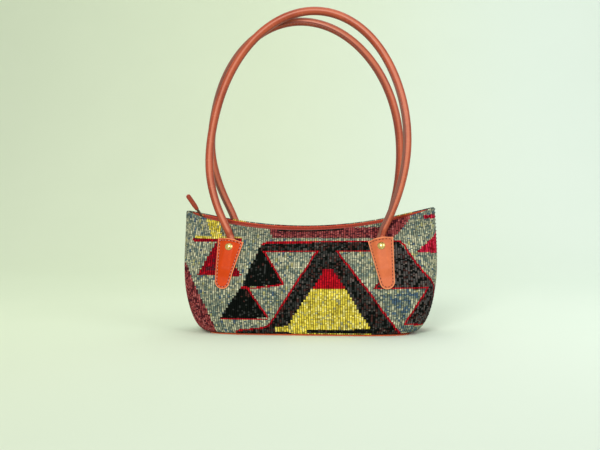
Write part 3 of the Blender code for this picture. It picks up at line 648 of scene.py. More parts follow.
# Rings from the upper face round the edge to the underside: inset and height
BASE_RINGS = np.array((
    (0.0030, BASE_THICKNESS), (0.0009, BASE_THICKNESS), (0.0, BASE_THICKNESS - 0.0006),
    (0.0, 0.0007), (0.0006, 0.0), (0.0034, 0.0), (0.0040, SEAM_CHANNEL),
    (0.0050, SEAM_CHANNEL), (0.0056, 0.0), (0.016, 0.0), (0.036, 0.0)))
BASE_STITCH_PITCH = 0.0046


def rounded_rectangle(turn, inset):
    power = 2 / BASE_SQUARENESS
    x = (BASE_HALF_WIDTH - inset) * np.sign(np.cos(turn)) * np.abs(np.cos(turn)) ** power
    y = (BASE_HALF_DEPTH - inset) * np.sign(np.sin(turn)) * np.abs(np.sin(turn)) ** power
    return x, y


def leather_finish(name, colour, edge=None, wear=0.5):
    """Vegetable-tanned leather: clouded colour, fine pores, a waxed surface."""
    hide = Finish(name, 0.42, specular=0.14, coat=(0.03, 0.30))
    cloud = hide.noise(38.0, detail=5.0)
    pores = hide.add("ShaderNodeTexVoronoi", None,
                     {"Vector": hide.place(), "Scale": 1500.0})
    creases = hide.noise(210.0, detail=4.0, roughness=0.6)
    deep = colour * np.array([0.62, 0.50, 0.48, 1.0])
    bright = np.minimum(colour * np.array([1.18, 1.30, 1.35, 1.0]), 1.0)
    tone = hide.mix(hide.smooth(cloud, 0.30, 0.70), deep * 0.35 + colour * 0.65, colour)
    tone = hide.mix(hide.smooth(creases, 0.45, 0.75) * wear, tone, bright)
    if edge is not None:
        near = hide.measured("edge")
        rim = 1.0 - hide.smooth(near, 0.5, 1.1)
        tone = hide.mix(rim, tone, edge)
        line = hide.smooth(near, 1.7, 2.1) * (1.0 - hide.smooth(near, 2.5, 2.9))
        tone = hide.mix(line * 0.55, tone, deep)
    hide.set("Base Color", tone)
    hide.set("Roughness", 0.36 + cloud * 0.22)
    hide.relief(creases * 0.6 + pores * 0.4, 0.00025, 0.6)
    return hide.material


TAN = leather_finish("tan_leather", dye(212, 98, 58))
EDGE_THREAD = thread_finish("pale_thread", dye(196, 176, 158))


def base_place(column, row):
    turn = 2 * math.pi * column / BASE_POINTS
    ring = BASE_RINGS[row]
    x, y = rounded_rectangle(turn, ring[:, 0])
    return np.stack([x, y, ring[:, 1]], axis=1)


base = mapped_grid(BASE_POINTS, len(BASE_RINGS) - 1, base_place, closed=True, capped=True)
base = piece("base_leather", base, TAN)
base.data.set_sharp_from_angle(angle=math.radians(50))
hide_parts("base_panel")
seam = bmesh.new()
turns = np.linspace(0, 2 * math.pi, 2881)
xs, ys = rounded_rectangle(turns, SEAM_INSET)
run = run_along(xs, ys)
stitches = int(run[-1] / BASE_STITCH_PITCH)
for k in range(stitches):
    at = run[-1] * (k + 0.5) / stitches
    here, ahead = (Vector((np.interp(spot, run, xs), np.interp(spot, run, ys), SEAM_CHANNEL))
                   for spot in (at, at + 0.0005))
    stitch(seam, here, ahead - here, Vector((0, 0, 1)), length=0.0034, width=0.0008,
           height=0.0005)
piece("base_thread", seam, EDGE_THREAD)

# ---------------------------------------------------------------- stiff board
# A grey board lies on the leather inside and keeps the bottom flat.
board = Finish("grey_board", 0.9)
pulp = board.noise(240.0, detail=6.0, roughness=0.7)
board.set("Base Color", board.mix(pulp, dye(120, 106, 84), dye(150, 134, 108)))
board.relief(pulp, 0.0003, 0.6)


def dress(node, material):
    """A solid of the model that keeps its shape and gets its finish here."""
    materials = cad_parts[node].data.materials
    materials.clear()
    materials.append(material)


dress("base_board", board.material)

# ---------------------------------------------------------------- lining
# A loose sack of dark cotton twill hangs inside from the facings and lies
# on the board: it is creased because it is cut larger than the body.
LINING_ROWS = 34
LINING_COLUMNS = 96
LINING_INSET = 0.0051
LINING_END_INSET = 0.0042
LINING_FLOOR = 0.0043
ZIP_DROP = 0.0045
TEETH_HEIGHT = 0.0022
LINING_TOP_DROP = 0.0019
LINING_TUCK = 0.0011
LINING_THICKNESS = 0.0008
# Cut as one rectangle, folded under the floor and sewn up at the two ends
twill = Finish("lining_twill", 0.95)
across, high = twill.along()
ribbing = (across * 1800.0 + high * 700.0).sine() * 0.5 + 0.5
slub = twill.noise(130.0, detail=4.0)
twill.set("Base Color", twill.mix(slub * 0.6 + ribbing * 0.3, dye(58, 48, 46), dye(104, 90, 84)))
twill.relief(ribbing * 0.5 + slub * 0.8, 0.0004)
lining_levels = np.linspace(0.016, 1, LINING_ROWS + 1)
lining_table = section_table(lining_levels, LINING_COLUMNS, LINING_INSET, LINING_END_INSET)


def lining_place(column, row):
    back = column > LINING_COLUMNS
    side = np.where(back, 1.0, -1.0)
    at = lining_table[row, np.where(back, 2 * LINING_COLUMNS - column, column)]
    level = row / LINING_ROWS
    x, y = at[:, 0], at[:, 1]
    crumple = (np.sin(x * 190 + 5 * np.sin(level * 9)) * np.sin(level * 23 + x * 31)
               + 0.6 * np.sin(x * 83 - level * 17 + side))
    tuck = LINING_TUCK * (1 - level) * np.clip(level * 6, 0, 1) * (crumple + 1.6)
    top = arc_height(x) - ZIP_DROP - TEETH_HEIGHT / 2 - LINING_TOP_DROP
    z = LINING_FLOOR + (top - LINING_FLOOR) * level
    return np.stack([x - at[:, 2] * tuck, side * np.maximum(y - at[:, 3] * tuck, 0.0), z],
                    axis=1)


lining = mapped_grid(2 * LINING_COLUMNS, LINING_ROWS, lining_place, closed=True)
low = [edge for edge in lining.edges if edge.is_boundary
       and all(abs(vert.co.z - LINING_FLOOR) < 0.0001 for vert in edge.verts)]
bmesh.ops.holes_fill(lining, edges=low, sides=0)
bmesh.ops.recalc_face_normals(lining, faces=lining.faces[:])
lining = piece("lining_sack", lining, twill.material)
wall(lining, LINING_THICKNESS)
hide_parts("lining")

# ---------------------------------------------------------------- leather facings
# A doubled strip of glossy tan leather lines each side of the mouth; its
# lower edge turns in over the zip's tape and is stitched down.
FACING_HALF = 0.1555
FACING = 0.0015
FACING_DROP = 0.0012
FACING_INNER_Y, FACING_FLANGE_LIFT = 0.0052, 0.00065
FACING_LEAST_OUTER, FACING_LEAST = 0.0030, 0.0007
FACING_STITCH_PITCH, FACING_STITCH_HALF, FACING_STITCH_DROP = 0.0044, 0.145, 0.0031
MOUTH_STATIONS = 150


def top_inner_y(x):
    wide = TOP_HALF_WIDTH - CLOTH
    return (TOP_HALF_DEPTH - CLOTH) * np.maximum(
        1 - (np.abs(x) / wide) ** TOP_SQUARENESS, 0) ** (1 / TOP_SQUARENESS)


def teeth_level(x):
    return arc_height(x) - ZIP_DROP


def facing_leather():
    hide = Finish("facing_leather", 0.42, specular=0.14, coat=(0.05, 0.2))
    cloud = hide.noise(60.0, detail=4.0)
    fine = hide.noise(700.0, detail=3.0)
    # the map runs round the strip: its second half is the side that faces the zip, painted darker
    # as shade
    low = hide.smooth(hide.along()[0], 0.40, 0.62)
    tone = hide.mix(cloud, dye(180, 54, 24), dye(210, 80, 38))
    hide.set("Base Color", hide.mix(low * 0.75, tone, dye(110, 34, 32)))
    hide.relief(cloud * 0.7 + fine * 0.3, 0.0004, 0.5)
    return hide.material


FACING_HIDE = facing_leather()
FACING_THREAD = thread_finish("facing_thread", dye(132, 62, 46))


def swept(profile, column, x, side):
    """A profile in y and z that changes along x: the places of its points, by number."""
    ys, zs = (np.stack([point[k] + 0 * x for point in profile])[column, np.arange(len(x))]
              for k in (0, 1))
    return np.stack([x, side * ys, zs], axis=1)


def facing_piece(side_name):
    side = SIDES[side_name]

    def place(column, row):
        x = (row / MOUTH_STATIONS * 2 - 1) * FACING_HALF
        outer = np.maximum(top_inner_y(x) - 2 * GAP, FACING_LEAST_OUTER)
        leg = np.minimum(np.maximum(outer - FACING, FACING_INNER_Y + GAP),
                         outer - FACING_LEAST)
        inner_y = np.minimum(FACING_INNER_Y, leg - 0.0003)
        top = top_edge(x, side) - FACING_DROP
        flange = teeth_level(x) + FACING_FLANGE_LIFT
        bottom = teeth_level(x) - TEETH_HEIGHT / 2
        mid = (outer + leg) / 2
        half = (outer - leg) / 2
        points = [(outer, bottom), (outer, (bottom + top) / 2)]
        points += [(mid + half * math.cos(turn), top - half + half * math.sin(turn))
                   for turn in np.linspace(0, math.pi, 7)]
        points += [(leg, (top + flange) / 2 + 0.0004), (leg - 0.0002, flange + FACING + 0.0004),
                   (leg - 0.0007, flange + FACING), (inner_y + 0.0006, flange + FACING),
                   (inner_y, flange + FACING / 2), (inner_y + 0.0003, flange),
                   (leg, flange), (leg, bottom), (outer, bottom)]
        return swept(points, column, x, side)

    strip = mapped_grid(17, MOUTH_STATIONS, place, closed=True, capped=True)
    made = piece(side_name + "_facing_strip", strip, FACING_HIDE)
    made.data.set_sharp_from_angle(angle=math.radians(60))
    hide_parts(side_name + "_facing")
    line = bmesh.new()
    for x in np.arange(-FACING_STITCH_HALF, FACING_STITCH_HALF + 0.0001, FACING_STITCH_PITCH):
        y = max(min(float(top_inner_y(x)) - 2 * GAP - FACING, 0.0125), FACING_INNER_Y + GAP)
        here = Vector((x, side * (y - 0.0001), float(top_edge(x, side)) - FACING_STITCH_DROP))
        slope = Vector((1, 0, x / ARC_RADIUS))
        stitch(line, here, slope, Vector((0, -side, 0)), length=0.0030, width=0.0007,
               height=0.0006)
    piece(side_name + "_facing_thread", line, FACING_THREAD)


for side_name in SIDES:
    facing_piece(side_name)

# ---------------------------------------------------------------- zip
# Two woven tapes carry rows of small brass teeth along the sagging mouth;
# a clamp closes each end of the rows.
ZIP_HALF = TOP_HALF_WIDTH - 0.0137
ZIP_MOUTH = 0.0023
TEETH_WIDTH = 0.0018
TOOTH_PITCH = 0.0027
TOOTH_LENGTH = 0.0013
TAPE_WIDTH, TAPE_HALF = 0.0042, 0.00033
BEAD_INSET, BEAD_WIDTH, BEAD_HALF = 0.0009, 0.0006, 0.0007
STOP_LENGTH, STOP_WIDTH, STOP_HEIGHT = 0.002, 0.0082, 0.0022
web = Finish("tape_web", 0.9)
herring = web.noise(1400.0, detail=1.0, stretch=(1.0, 0.35, 1.0))
web.set("Base Color", web.mix(herring, dye(78, 62, 68), dye(140, 122, 128)))
web.relief(herring, 0.0003)


def brass_finish(name, light, dark, roughness):
    brass = Finish(name, roughness, metallic=1.0)
    tarnish = brass.noise(420.0, detail=4.0)
    brass.set("Base Color", brass.mix(brass.smooth(tarnish, 0.35, 0.75), light, dark))
    brass.set("Roughness", roughness - 0.06 + tarnish * 0.2)
    brass.relief(brass.noise(2400.0, detail=2.0), 0.00006, 0.5)
    return brass.material


ZIP_BRASS = brass_finish("zip_brass", dye(150, 118, 72), dye(92, 68, 42), 0.36)
LINK_BRASS = brass_finish("link_brass", dye(96, 62, 44), dye(60, 38, 30), 0.42)


def zip_seat(x, y=0.0):
    """A place on the zip's arc, turned with the arc."""
    return (Matrix.Translation((x, y, float(teeth_level(x))))
            @ Matrix.Rotation(-math.asin(x / ARC_RADIUS), 4, "Y"))


def sized(length, width, height):
    return Matrix.Diagonal((length, width, height, 1.0))


def soften(bm, edges, width, segments):
    bmesh.ops.bevel(bm, geom=edges, offset=width, offset_type="OFFSET", segments=segments,
                    profile=0.5, affect="EDGES", material=-1)


for side_name, side in SIDES.items():

    def tape_place(column, row):
        x = (row / MOUTH_STATIONS * 2 - 1) * ZIP_HALF
        middle = teeth_level(x)
        room = np.maximum(top_inner_y(x) - 3 * GAP - FACING, ZIP_MOUTH + TEETH_WIDTH + GAP)
        outer = np.minimum(ZIP_MOUTH + TEETH_WIDTH + TAPE_WIDTH, room)
        inner = ZIP_MOUTH + BEAD_INSET
        upper = [(outer, TAPE_HALF), ((outer + inner) / 2, TAPE_HALF),
                 (inner + BEAD_WIDTH, TAPE_HALF + 0.00001), (inner + 0.0002, BEAD_HALF)]
        profile = [(outer, -TAPE_HALF), *upper, (inner, 0.0)]
        profile += [(y, -z) for y, z in upper[::-1]]
        return swept([(y, middle + z) for y, z in profile], column, x, side)

    tape = mapped_grid(9, MOUTH_STATIONS, tape_place, closed=True, capped=True)
    tape = piece(side_name + "_tape", tape, web.material)
    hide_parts(side_name + "_zip_tape")
    row_of_teeth = bmesh.new()
    offset = TOOTH_PITCH / 2 if side > 0 else 0.0
    for x in np.arange(-ZIP_HALF + 0.0012 + offset, ZIP_HALF - 0.0008, TOOTH_PITCH):
        seat = zip_seat(x, side * (ZIP_MOUTH + TEETH_WIDTH / 2))
        bmesh.ops.create_cube(row_of_teeth, size=1.0,
                              matrix=seat @ sized(TOOTH_LENGTH, TEETH_WIDTH, TEETH_HEIGHT))
        knob = zip_seat(x, side * (ZIP_MOUTH + 0.0004))
        bmesh.ops.create_uvsphere(row_of_teeth, u_segments=6, v_segments=4, radius=1.0,
                                  matrix=knob @ sized(0.0009, 0.0006, 0.0012))
    piece(side_name + "_teeth", row_of_teeth, ZIP_BRASS, smooth=False)
for end_name, end in ENDS.items():
    clamp = bmesh.new()
    bmesh.ops.create_cube(clamp, size=1.0,
                          matrix=zip_seat(end * (ZIP_HALF + GAP + STOP_LENGTH / 2))
                          @ sized(STOP_LENGTH, STOP_WIDTH, STOP_HEIGHT))
    soften(clamp, clamp.edges[:], 0.0005, 3)
    clamp = piece(end_name + "_stop", clamp, ZIP_BRASS)
    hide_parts(end_name + "_zip_stop")

# ---------------------------------------------------------------- slider and pull
# The brass slider straddles both rows at the left end; its lug carries a
# fork-shaped link, and a narrow strip of brown leather hangs on the link.
slider_seat = zip_seat(0.0034 - ZIP_HALF)
PLATE = (0.008, 0.0088, 0.0011)
PLATE_Z = TEETH_HEIGHT / 2 + GAP + PLATE[2] / 2
LUG = (0.0044, 0.0016, 0.005)
WEDGE = (0.005, 0.0034, 2 * PLATE_Z)
slider = bmesh.new()
for z, size in ((PLATE_Z, PLATE), (-PLATE_Z, PLATE), (0.0, WEDGE), (PLATE_Z + LUG[2] / 2, LUG)):
    part = bmesh.new()
    bmesh.ops.create_cube(part, size=1.0, matrix=Matrix.Translation((0, 0, z)) @ sized(*size))
    corners = [edge for edge in part.edges
               if abs((edge.verts[0].co - edge.verts[1].co).normalized().z) > 0.9]
    soften(part, corners, min(size[:2]) * 0.3, 4)
    rims = [edge for edge in part.edges if edge.calc_face_angle(0.0) > math.radians(60)]
    soften(part, rims, 0.0003, 2)
    keep = bpy.data.meshes.new("slider_part")
    part.to_mesh(keep)
    part.free()
    slider.from_mesh(keep)
    bpy.data.meshes.remove(keep)
bmesh.ops.transform(slider, matrix=slider_seat, verts=slider.verts[:])
slider = piece("slider", slider, ZIP_BRASS, body="slider")
slider.data.set_sharp_from_angle(angle=math.radians(40))
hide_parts("zip_slider")

EYE_DROP = 0.0021
PULL_LEAN = math.radians(34)
LINK_LENGTH = 0.0105
PULL_LENGTH, PULL_HALF_WIDTH, PULL_HALF_THICKNESS = 0.024, 0.0031, 0.0017
PULL_POINTS, PULL_ROWS = 20, 24
PULL_STITCH_PITCH, PULL_STITCH_OUT = 0.0034, 0.0019
eye = slider_seat @ Vector((0, 0, PLATE_Z + LUG[2] - EYE_DROP))
pull_seat = Matrix.Translation(eye) @ Matrix.Rotation(-PULL_LEAN, 4, "Y")
dress("pull_link", LINK_BRASS)
PULL_HIDE = leather_finish("brown_leather", dye(158, 66, 44))


def tip_round(share, start):
    """1 up to the start of the tip, then round down to 0 at its end."""
    return np.sqrt(1 - np.clip((share - start) / (1 - start), 0, 1) ** 2)


def pull_place(column, row):
    share = row / PULL_ROWS
    turn = 2 * math.pi * column / PULL_POINTS
    wide = PULL_HALF_WIDTH * tip_round(share, 0.86) * (0.74 + 0.26 * np.clip(share / 0.25, 0, 1))
    thick = PULL_HALF_THICKNESS * tip_round(share, 0.93) * np.where(share <= 0, 0.9, 1.0)
    x = wide * np.sign(np.cos(turn)) * np.abs(np.cos(turn)) ** 0.55
    y = thick * np.sign(np.sin(turn)) * np.abs(np.sin(turn)) ** 0.55
    z = LINK_LENGTH + GAP + share * PULL_LENGTH
    local = np.stack([x, y, z, np.ones(len(x))])
    return (np.array(pull_seat) @ local)[:3].T


pull = mapped_grid(PULL_POINTS, PULL_ROWS, pull_place, closed=True, capped=True)
pull = piece("leather_pull", pull, PULL_HIDE, body="pull")
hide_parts("zip_pull")
line = bmesh.new()
for face in (-1, 1):
    for across_line in (-PULL_STITCH_OUT, PULL_STITCH_OUT):
        for z in np.arange(LINK_LENGTH + 0.004, LINK_LENGTH + PULL_LENGTH - 0.003,
                           PULL_STITCH_PITCH):
            here = pull_seat @ Vector((across_line, face * (PULL_HALF_THICKNESS + 0.00002), z))
            stitch(line, here, pull_seat.to_3x3() @ Vector((0, 0, 1)),
                   pull_seat.to_3x3() @ Vector((0, face, 0)),
                   length=0.0024, width=0.0006, height=0.0004)
piece("pull_thread", line, FACING_THREAD, body="pull")

# ---------------------------------------------------------------- handles
# Each handle is a strip of tan leather rolled round a cord core; its two raw
# edges meet in one seam that winds a little from leg to leg. Flattened ends
# lie under the tabs.
HANDLE_RADIUS = 0.00525
HANDLE_HALF_WIDTH = 0.1255
HANDLE_WIDEST_Z = 0.237
HANDLE_TOP_Z = {"front": 0.4115, "back": 0.4010}
HANDLE_SKEW = 0.010
PIVOT_HALF_SPACING = 0.0995
PIVOT_Z = 0.132
PIVOT_STANDOFF = 0.003
TAB_HALF_SPACING = 0.096
TAB_TOP_Z = 0.1198
TAB_TILT = math.radians(9.8)
TAB_LENGTH = 0.0615
TAB_TOP_WIDTH, TAB_BOTTOM_WIDTH = 0.032, 0.0185
TAB_THICKNESS = 0.002
END_LENGTH = 0.034
END_HALF_WIDTH = 0.0062
END_TOP_THICKNESS, END_RIVET_THICKNESS, END_TIP_THICKNESS = 0.007, 0.0044, 0.0022
RIVET_DROP = 0.0095
RIVET_RADIUS = 0.0048
HEAD_TOP, HEAD_BOTTOM = RIVET_DROP - RIVET_RADIUS, RIVET_DROP + RIVET_RADIUS
ROUND_POINTS = 48
FOOT_STATIONS, LEG_STATIONS, ARCH_STATIONS = 12, 40, 90
TIP_NARROWNESS, NECK_NARROWNESS, NECK_FLATNESS, NECK_DROP = 0.78, 0.97, 0.74, 0.0008
BOW_FADE = 0.02
# Angle of the seam round the handle at the left foot, left side, top, right side
# and right foot: 0 faces into the loop, 90 faces away from the bag
SEAM_TURNS = {"front": (-112, -98, -10, 58, 78), "back": (-104, -112, -75, -56, -52)}
# Where a leg bows away from the even curve: how far, at which height, over what span
LEG_BOWS = {("front", -1): ((-0.0034, 0.200, 0.060),),
            ("front", 1): ((0.0014, 0.250, 0.060),),
            ("back", -1): ((0.0030, 0.145, 0.030), (-0.0030, 0.236, 0.040)),
            ("back", 1): ((-0.0026, 0.210, 0.080),)}


def skin_point(x, z, lift, side):
    """A point lifted off the body's outer face along the face's own normal."""
    def on_face(across, above):
        level = (above - HEM_Z) / (float(top_edge(across, side)) - HEM_Z)
        power = squareness(level)
        share = max(1 - (abs(across) / half_width(level)) ** power, 0.0)
        return Vector((across, side * half_depth(level) * share ** (1 / power), above))
    step = 0.0005
    along = on_face(x + step, z) - on_face(x - step, z)
    upward = on_face(x, z + step) - on_face(x, z - step)
    normal = along.cross(upward).normalized() * -side
    return on_face(x, z) + normal * lift, normal


def pivot_place(side, end):
    """Where a handle bends as it leaves its tab."""
    place, normal = skin_point(PIVOT_HALF_SPACING, PIVOT_Z,
                               HANDLE_RADIUS + GAP + PIVOT_STANDOFF, side)
    return Vector((end * PIVOT_HALF_SPACING, place.y, PIVOT_Z))


def tab_place(end, across, down):
    """A point of a tab in x and z, from its place across and down the tab."""
    x = TAB_HALF_SPACING + down * math.sin(TAB_TILT) + across * math.cos(TAB_TILT)
    z = TAB_TOP_Z - down * math.cos(TAB_TILT) + across * math.sin(TAB_TILT)
    return end * x, z


def end_half_thickness(down):
    if down < HEAD_TOP:
        share = (HEAD_TOP - down) / HEAD_TOP
        return (END_RIVET_THICKNESS + (END_TOP_THICKNESS - END_RIVET_THICKNESS) * share) / 2
    share = min(max((down - HEAD_BOTTOM) / (END_LENGTH - HEAD_BOTTOM), 0.0), 1.0)
    return (END_RIVET_THICKNESS + (END_TIP_THICKNESS - END_RIVET_THICKNESS) * share) / 2


def handle_stations(side_name):
    """Centre, half width, half thickness and outward direction from foot to foot."""
    side = SIDES[side_name]
    top_z = HANDLE_TOP_Z[side_name]
    start = pivot_place(side, 1)
    lean = (abs(start.y) - HANDLE_RADIUS - GAP) / (top_z - start.z)
    legs = {}
    for end in (-1, 1):
        foot = []
        for down in np.linspace(END_LENGTH, 0.0, FOOT_STATIONS):
            x, z = tab_place(end, 0.0, float(down))
            thick = end_half_thickness(down)
            centre, normal = skin_point(x, z, thick + RIB_HEIGHT + GAP, side)
            wide = END_HALF_WIDTH * (TIP_NARROWNESS if down > END_LENGTH - 0.0001 else 1.0)
            foot.append((centre, wide, thick, normal))
        pivot = pivot_place(side, end)
        below = HANDLE_RADIUS + NECK_DROP
        slope = (PIVOT_HALF_SPACING - TAB_HALF_SPACING) / (PIVOT_Z - TAB_TOP_Z)
        neck_x, neck_z = pivot.x - end * slope * below, pivot.z - below
        thick = HANDLE_RADIUS * NECK_FLATNESS
        skin = skin_point(neck_x, neck_z, 0.0, side)[0]
        foot.append((Vector((neck_x, skin.y + side * (thick + RIB_HEIGHT + 2 * GAP), neck_z)),
                     HANDLE_RADIUS * NECK_NARROWNESS, thick, Vector((0, side, 0))))
        heights = list(np.linspace(PIVOT_Z, HANDLE_WIDEST_Z, LEG_STATIONS)[:-1])
        heights += [HANDLE_WIDEST_Z + (top_z - HANDLE_WIDEST_Z) * math.sin(turn)
                    for turn in np.linspace(0, math.pi / 2, ARCH_STATIONS)]
        for z in heights:
            if z >= HANDLE_WIDEST_Z:
                share = (z - HANDLE_WIDEST_Z) / (top_z - HANDLE_WIDEST_Z)
                half = HANDLE_HALF_WIDTH * math.sqrt(max(1 - share ** 2, 0.0))
            else:
                share = (HANDLE_WIDEST_Z - z) / (HANDLE_WIDEST_Z - PIVOT_Z)
                half = HANDLE_HALF_WIDTH - (HANDLE_HALF_WIDTH - PIVOT_HALF_SPACING) * share ** 2
            skew = -side * HANDLE_SKEW * (z - PIVOT_Z) / (top_z - PIVOT_Z)
            for bow, bow_z, span in LEG_BOWS[(side_name, end)]:
                skew += bow * (math.exp(-((z - bow_z) / span) ** 2)
                               - math.exp(-((PIVOT_Z - bow_z) / span) ** 2)
                               * math.exp(-((z - PIVOT_Z) / BOW_FADE) ** 2))
            foot.append((Vector((end * half + skew, start.y - side * (z - PIVOT_Z) * lean, z)),
                         HANDLE_RADIUS, HANDLE_RADIUS, Vector((0, side, 0))))
        legs[end] = foot
    return legs[-1] + legs[1][-2::-1]


def even_stations(stations, count):
    """The same stations spaced evenly by run, as arrays."""
    rows = np.array([[*centre, wide, thick, *out] for centre, wide, thick, out in stations])
    run = np.concatenate([[0.0], np.cumsum(np.linalg.norm(np.diff(rows[:, :3], axis=0), axis=1))])
    at = np.linspace(0, run[-1], count + 1)
    even = np.stack([np.interp(at, run, rows[:, k]) for k in range(rows.shape[1])], axis=1)
    for k in range(3):
        middle = even[1:-1, k].copy()
        even[1:-1, k] = 0.25 * even[:-2, k] + 0.5 * middle + 0.25 * even[2:, k]
    return even, run[-1]


def handle_finish(side_name):
    """Glazed tan leather with its raw edges showing; painted highlight and shade by how each face
    turns, and painted shade, darker and redder, beside the seam.
    """
    hide = Finish(side_name + "_handle_leather", 0.36, specular=0.3, coat=(0.15, 0.25))
    around, along = hide.along()
    cloud = hide.noise(30.0, detail=5.0)
    folds = hide.noise(1.0, vector=hide.vector(around * 2.5, along * 420.0), detail=4.0)
    pores = hide.noise(1300.0, detail=2.0)
    tone = hide.mix(hide.smooth(cloud, 0.3, 0.7), dye(152, 58, 32), dye(176, 76, 44))
    tone = hide.mix(hide.smooth(folds, 0.52, 0.78) * 0.30, tone, dye(226, 132, 98))
    # painted highlight on faces turned to the light, painted shade on the flanks
    painted_light_facing = hide.measured("painted_light_facing")
    tone = hide.mix(hide.smooth(painted_light_facing, 0.90, 1.0) * 0.60, tone, dye(219, 132, 100))
    tone = hide.mix((1.0 - hide.smooth(painted_light_facing, 0.30, 0.82)) * 0.60, tone, dye(112, 36, 20))
    from_seam = around.to_and_fro()
    # painted shade in and beside the seam's groove
    dark = 1.0 - hide.smooth(from_seam, 0.02, 0.17)
    tone = hide.mix(dark * 0.80, tone, dye(116, 42, 36))
    one_side = hide.smooth(around, 0.66, 0.76) * (1.0 - hide.smooth(around, 0.965, 0.985))
    # the skived side shows on one leg only, under painted shade
    skived_leg_and_shade = (hide.smooth(along, 0.46, 0.62) if side_name == "front"
            else 1.0 - hide.smooth(along, 0.34, 0.50))
    tone = hide.mix(one_side * skived_leg_and_shade * 0.62, tone, dye(126, 88, 78))
    raw = 1.0 - hide.smooth(from_seam, 0.006, 0.016)
    tone = hide.mix(raw * 0.7, tone, dye(150, 128, 104))
    hide.set("Base Color", tone)
    hide.set("Roughness", 0.30 + cloud * 0.18 + raw * 0.3)
    hide.relief(folds * 0.7 + pores * 0.25, 0.0003, 0.55)
    return hide.material


HANDLE_COUNT = 300
HANDLE_STITCH_START, HANDLE_STITCH_PITCH = 0.055, 0.0042
# Painted light: faces of the roll turned this way are painted paler as a highlight, and its flanks
# darker as shade
PAINTED_LIGHT_WAY = Vector((0.28, -1.0, 0.20)).normalized()
HANDLE_THREAD = thread_finish("handle_thread", dye(150, 116, 98))


def rolled_handle(side_name):
    side = SIDES[side_name]
    even, length = even_stations(handle_stations(side_name), HANDLE_COUNT)
    tangent = np.gradient(even[:, :3], axis=0)
    tangent /= np.linalg.norm(tangent, axis=1)[:, None]
    out = even[:, 5:8] - tangent * np.sum(even[:, 5:8] * tangent, axis=1)[:, None]
    out /= np.linalg.norm(out, axis=1)[:, None]
    inner = np.cross(tangent, out) * -side
    shares = np.linspace(0, 1, HANDLE_COUNT + 1)
    seam_turn = np.radians(np.interp(shares, (0.0, 0.25, 0.5, 0.75, 1.0), SEAM_TURNS[side_name]))

    def place(column, row):
        u = column / ROUND_POINTS
        turn = 2 * math.pi * u - 0.72 * np.sin(2 * math.pi * u)
        from_seam = np.abs((turn + math.pi) % (2 * math.pi) - math.pi)
        # the seam is a fine groove between two soft swellings
        dip = (-0.10 * np.exp(-(from_seam / 0.055) ** 2)
               + 0.028 * np.exp(-((from_seam - 0.20) / 0.10) ** 2))
        ripple = 0.006 * np.sin(shares[row] * length * 900 + 3 * np.sin(turn))
        # the ends are drawn in to a rounded tip
        tip = np.minimum(shares[row], 1 - shares[row]) * length
        draw_in = np.sqrt(np.clip(tip / 0.0016, 0.02, 1.0))
        slim = 0.94 + 0.06 * np.clip((tip - 0.05) / 0.07, 0, 1)
        swell = (slim + dip + ripple) * draw_in
        angle = seam_turn[row] + turn
        point = even[row, :3]
        point = point + inner[row] * (np.cos(angle) * even[row, 3] * swell)[:, None]
        return point + out[row] * (np.sin(angle) * even[row, 4] * swell)[:, None]

    tube = mapped_grid(ROUND_POINTS, HANDLE_COUNT, place, closed=True, capped=True)
    made = piece(side_name + "_rolled_handle", tube, handle_finish(side_name),
                 body=None)
    painted_light_facing = [abs(vert.normal.dot(PAINTED_LIGHT_WAY)) for vert in made.data.vertices]
    made.data.attributes.new("painted_light_facing", "FLOAT", "POINT").data.foreach_set("value", painted_light_facing)
    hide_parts(side_name + "_handle", side_name + "_left_handle_end",
                side_name + "_right_handle_end")
    start = pivot_place(side, 1)
    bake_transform(made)
    line = bmesh.new()
    for at in np.arange(HANDLE_STITCH_START, length - HANDLE_STITCH_START,
                        HANDLE_STITCH_PITCH):
        row = at / length * HANDLE_COUNT
        low = int(row)
        near = even[low] * (1 - row + low) + even[low + 1] * (row - low)
        angle = seam_turn[low] + 0.30
        outward = Vector(inner[low] * math.cos(angle) + out[low] * math.sin(angle))
        here = Vector(near[:3]) + outward * HANDLE_RADIUS * 1.015
        stitch(line, here, Vector(tangent[low]), outward, length=0.0024, width=0.0006,
               height=0.0005)
    line = piece(side_name + "_handle_thread", line, HANDLE_THREAD, body=None)
    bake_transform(line)


for side_name in SIDES:
    rolled_handle(side_name)

# ---------------------------------------------------------------- tabs
# A leather tab covers each flattened end: straight sides, a round tip, edges
# burnished pale, and a line of stitches all round that holds it to the cloth.
BULGE_FLAT, BULGE_HALF_WIDTH = 0.0045, 0.0142
TAB_EASE_START, TAB_EASE = 0.002, 0.012
TAB_CLEARANCE = 0.0010
TAB_COLUMNS, TAB_ROWS = 36, 64
STITCH_INSET = 0.0023
TAB_STITCH_PITCH, TAB_STITCH_HALF = 0.0041, 0.0006
CROWN_DEPTH, CROWN_REACH = 0.00055, 0.0006
CHANNEL_DEPTH, CHANNEL_REACH = 0.00028, 0.00045


def smooth_step(value):
    value = min(max(value, 0.0), 1.0)
    return value * value * (3 - 2 * value)


def tab_lift(across, down):
    """How far the tab's inner face is held off the cloth by the handle's end."""
    flat = RIB_HEIGHT + GAP
    over_end = 2 * end_half_thickness(down) + RIB_HEIGHT + TAB_CLEARANCE
    sideways = smooth_step((abs(across) - BULGE_FLAT) / (BULGE_HALF_WIDTH - BULGE_FLAT))
    lengthways = smooth_step((down - END_LENGTH - TAB_EASE_START) / TAB_EASE)
    return flat + (over_end - flat) * (1 - sideways) * (1 - lengthways)


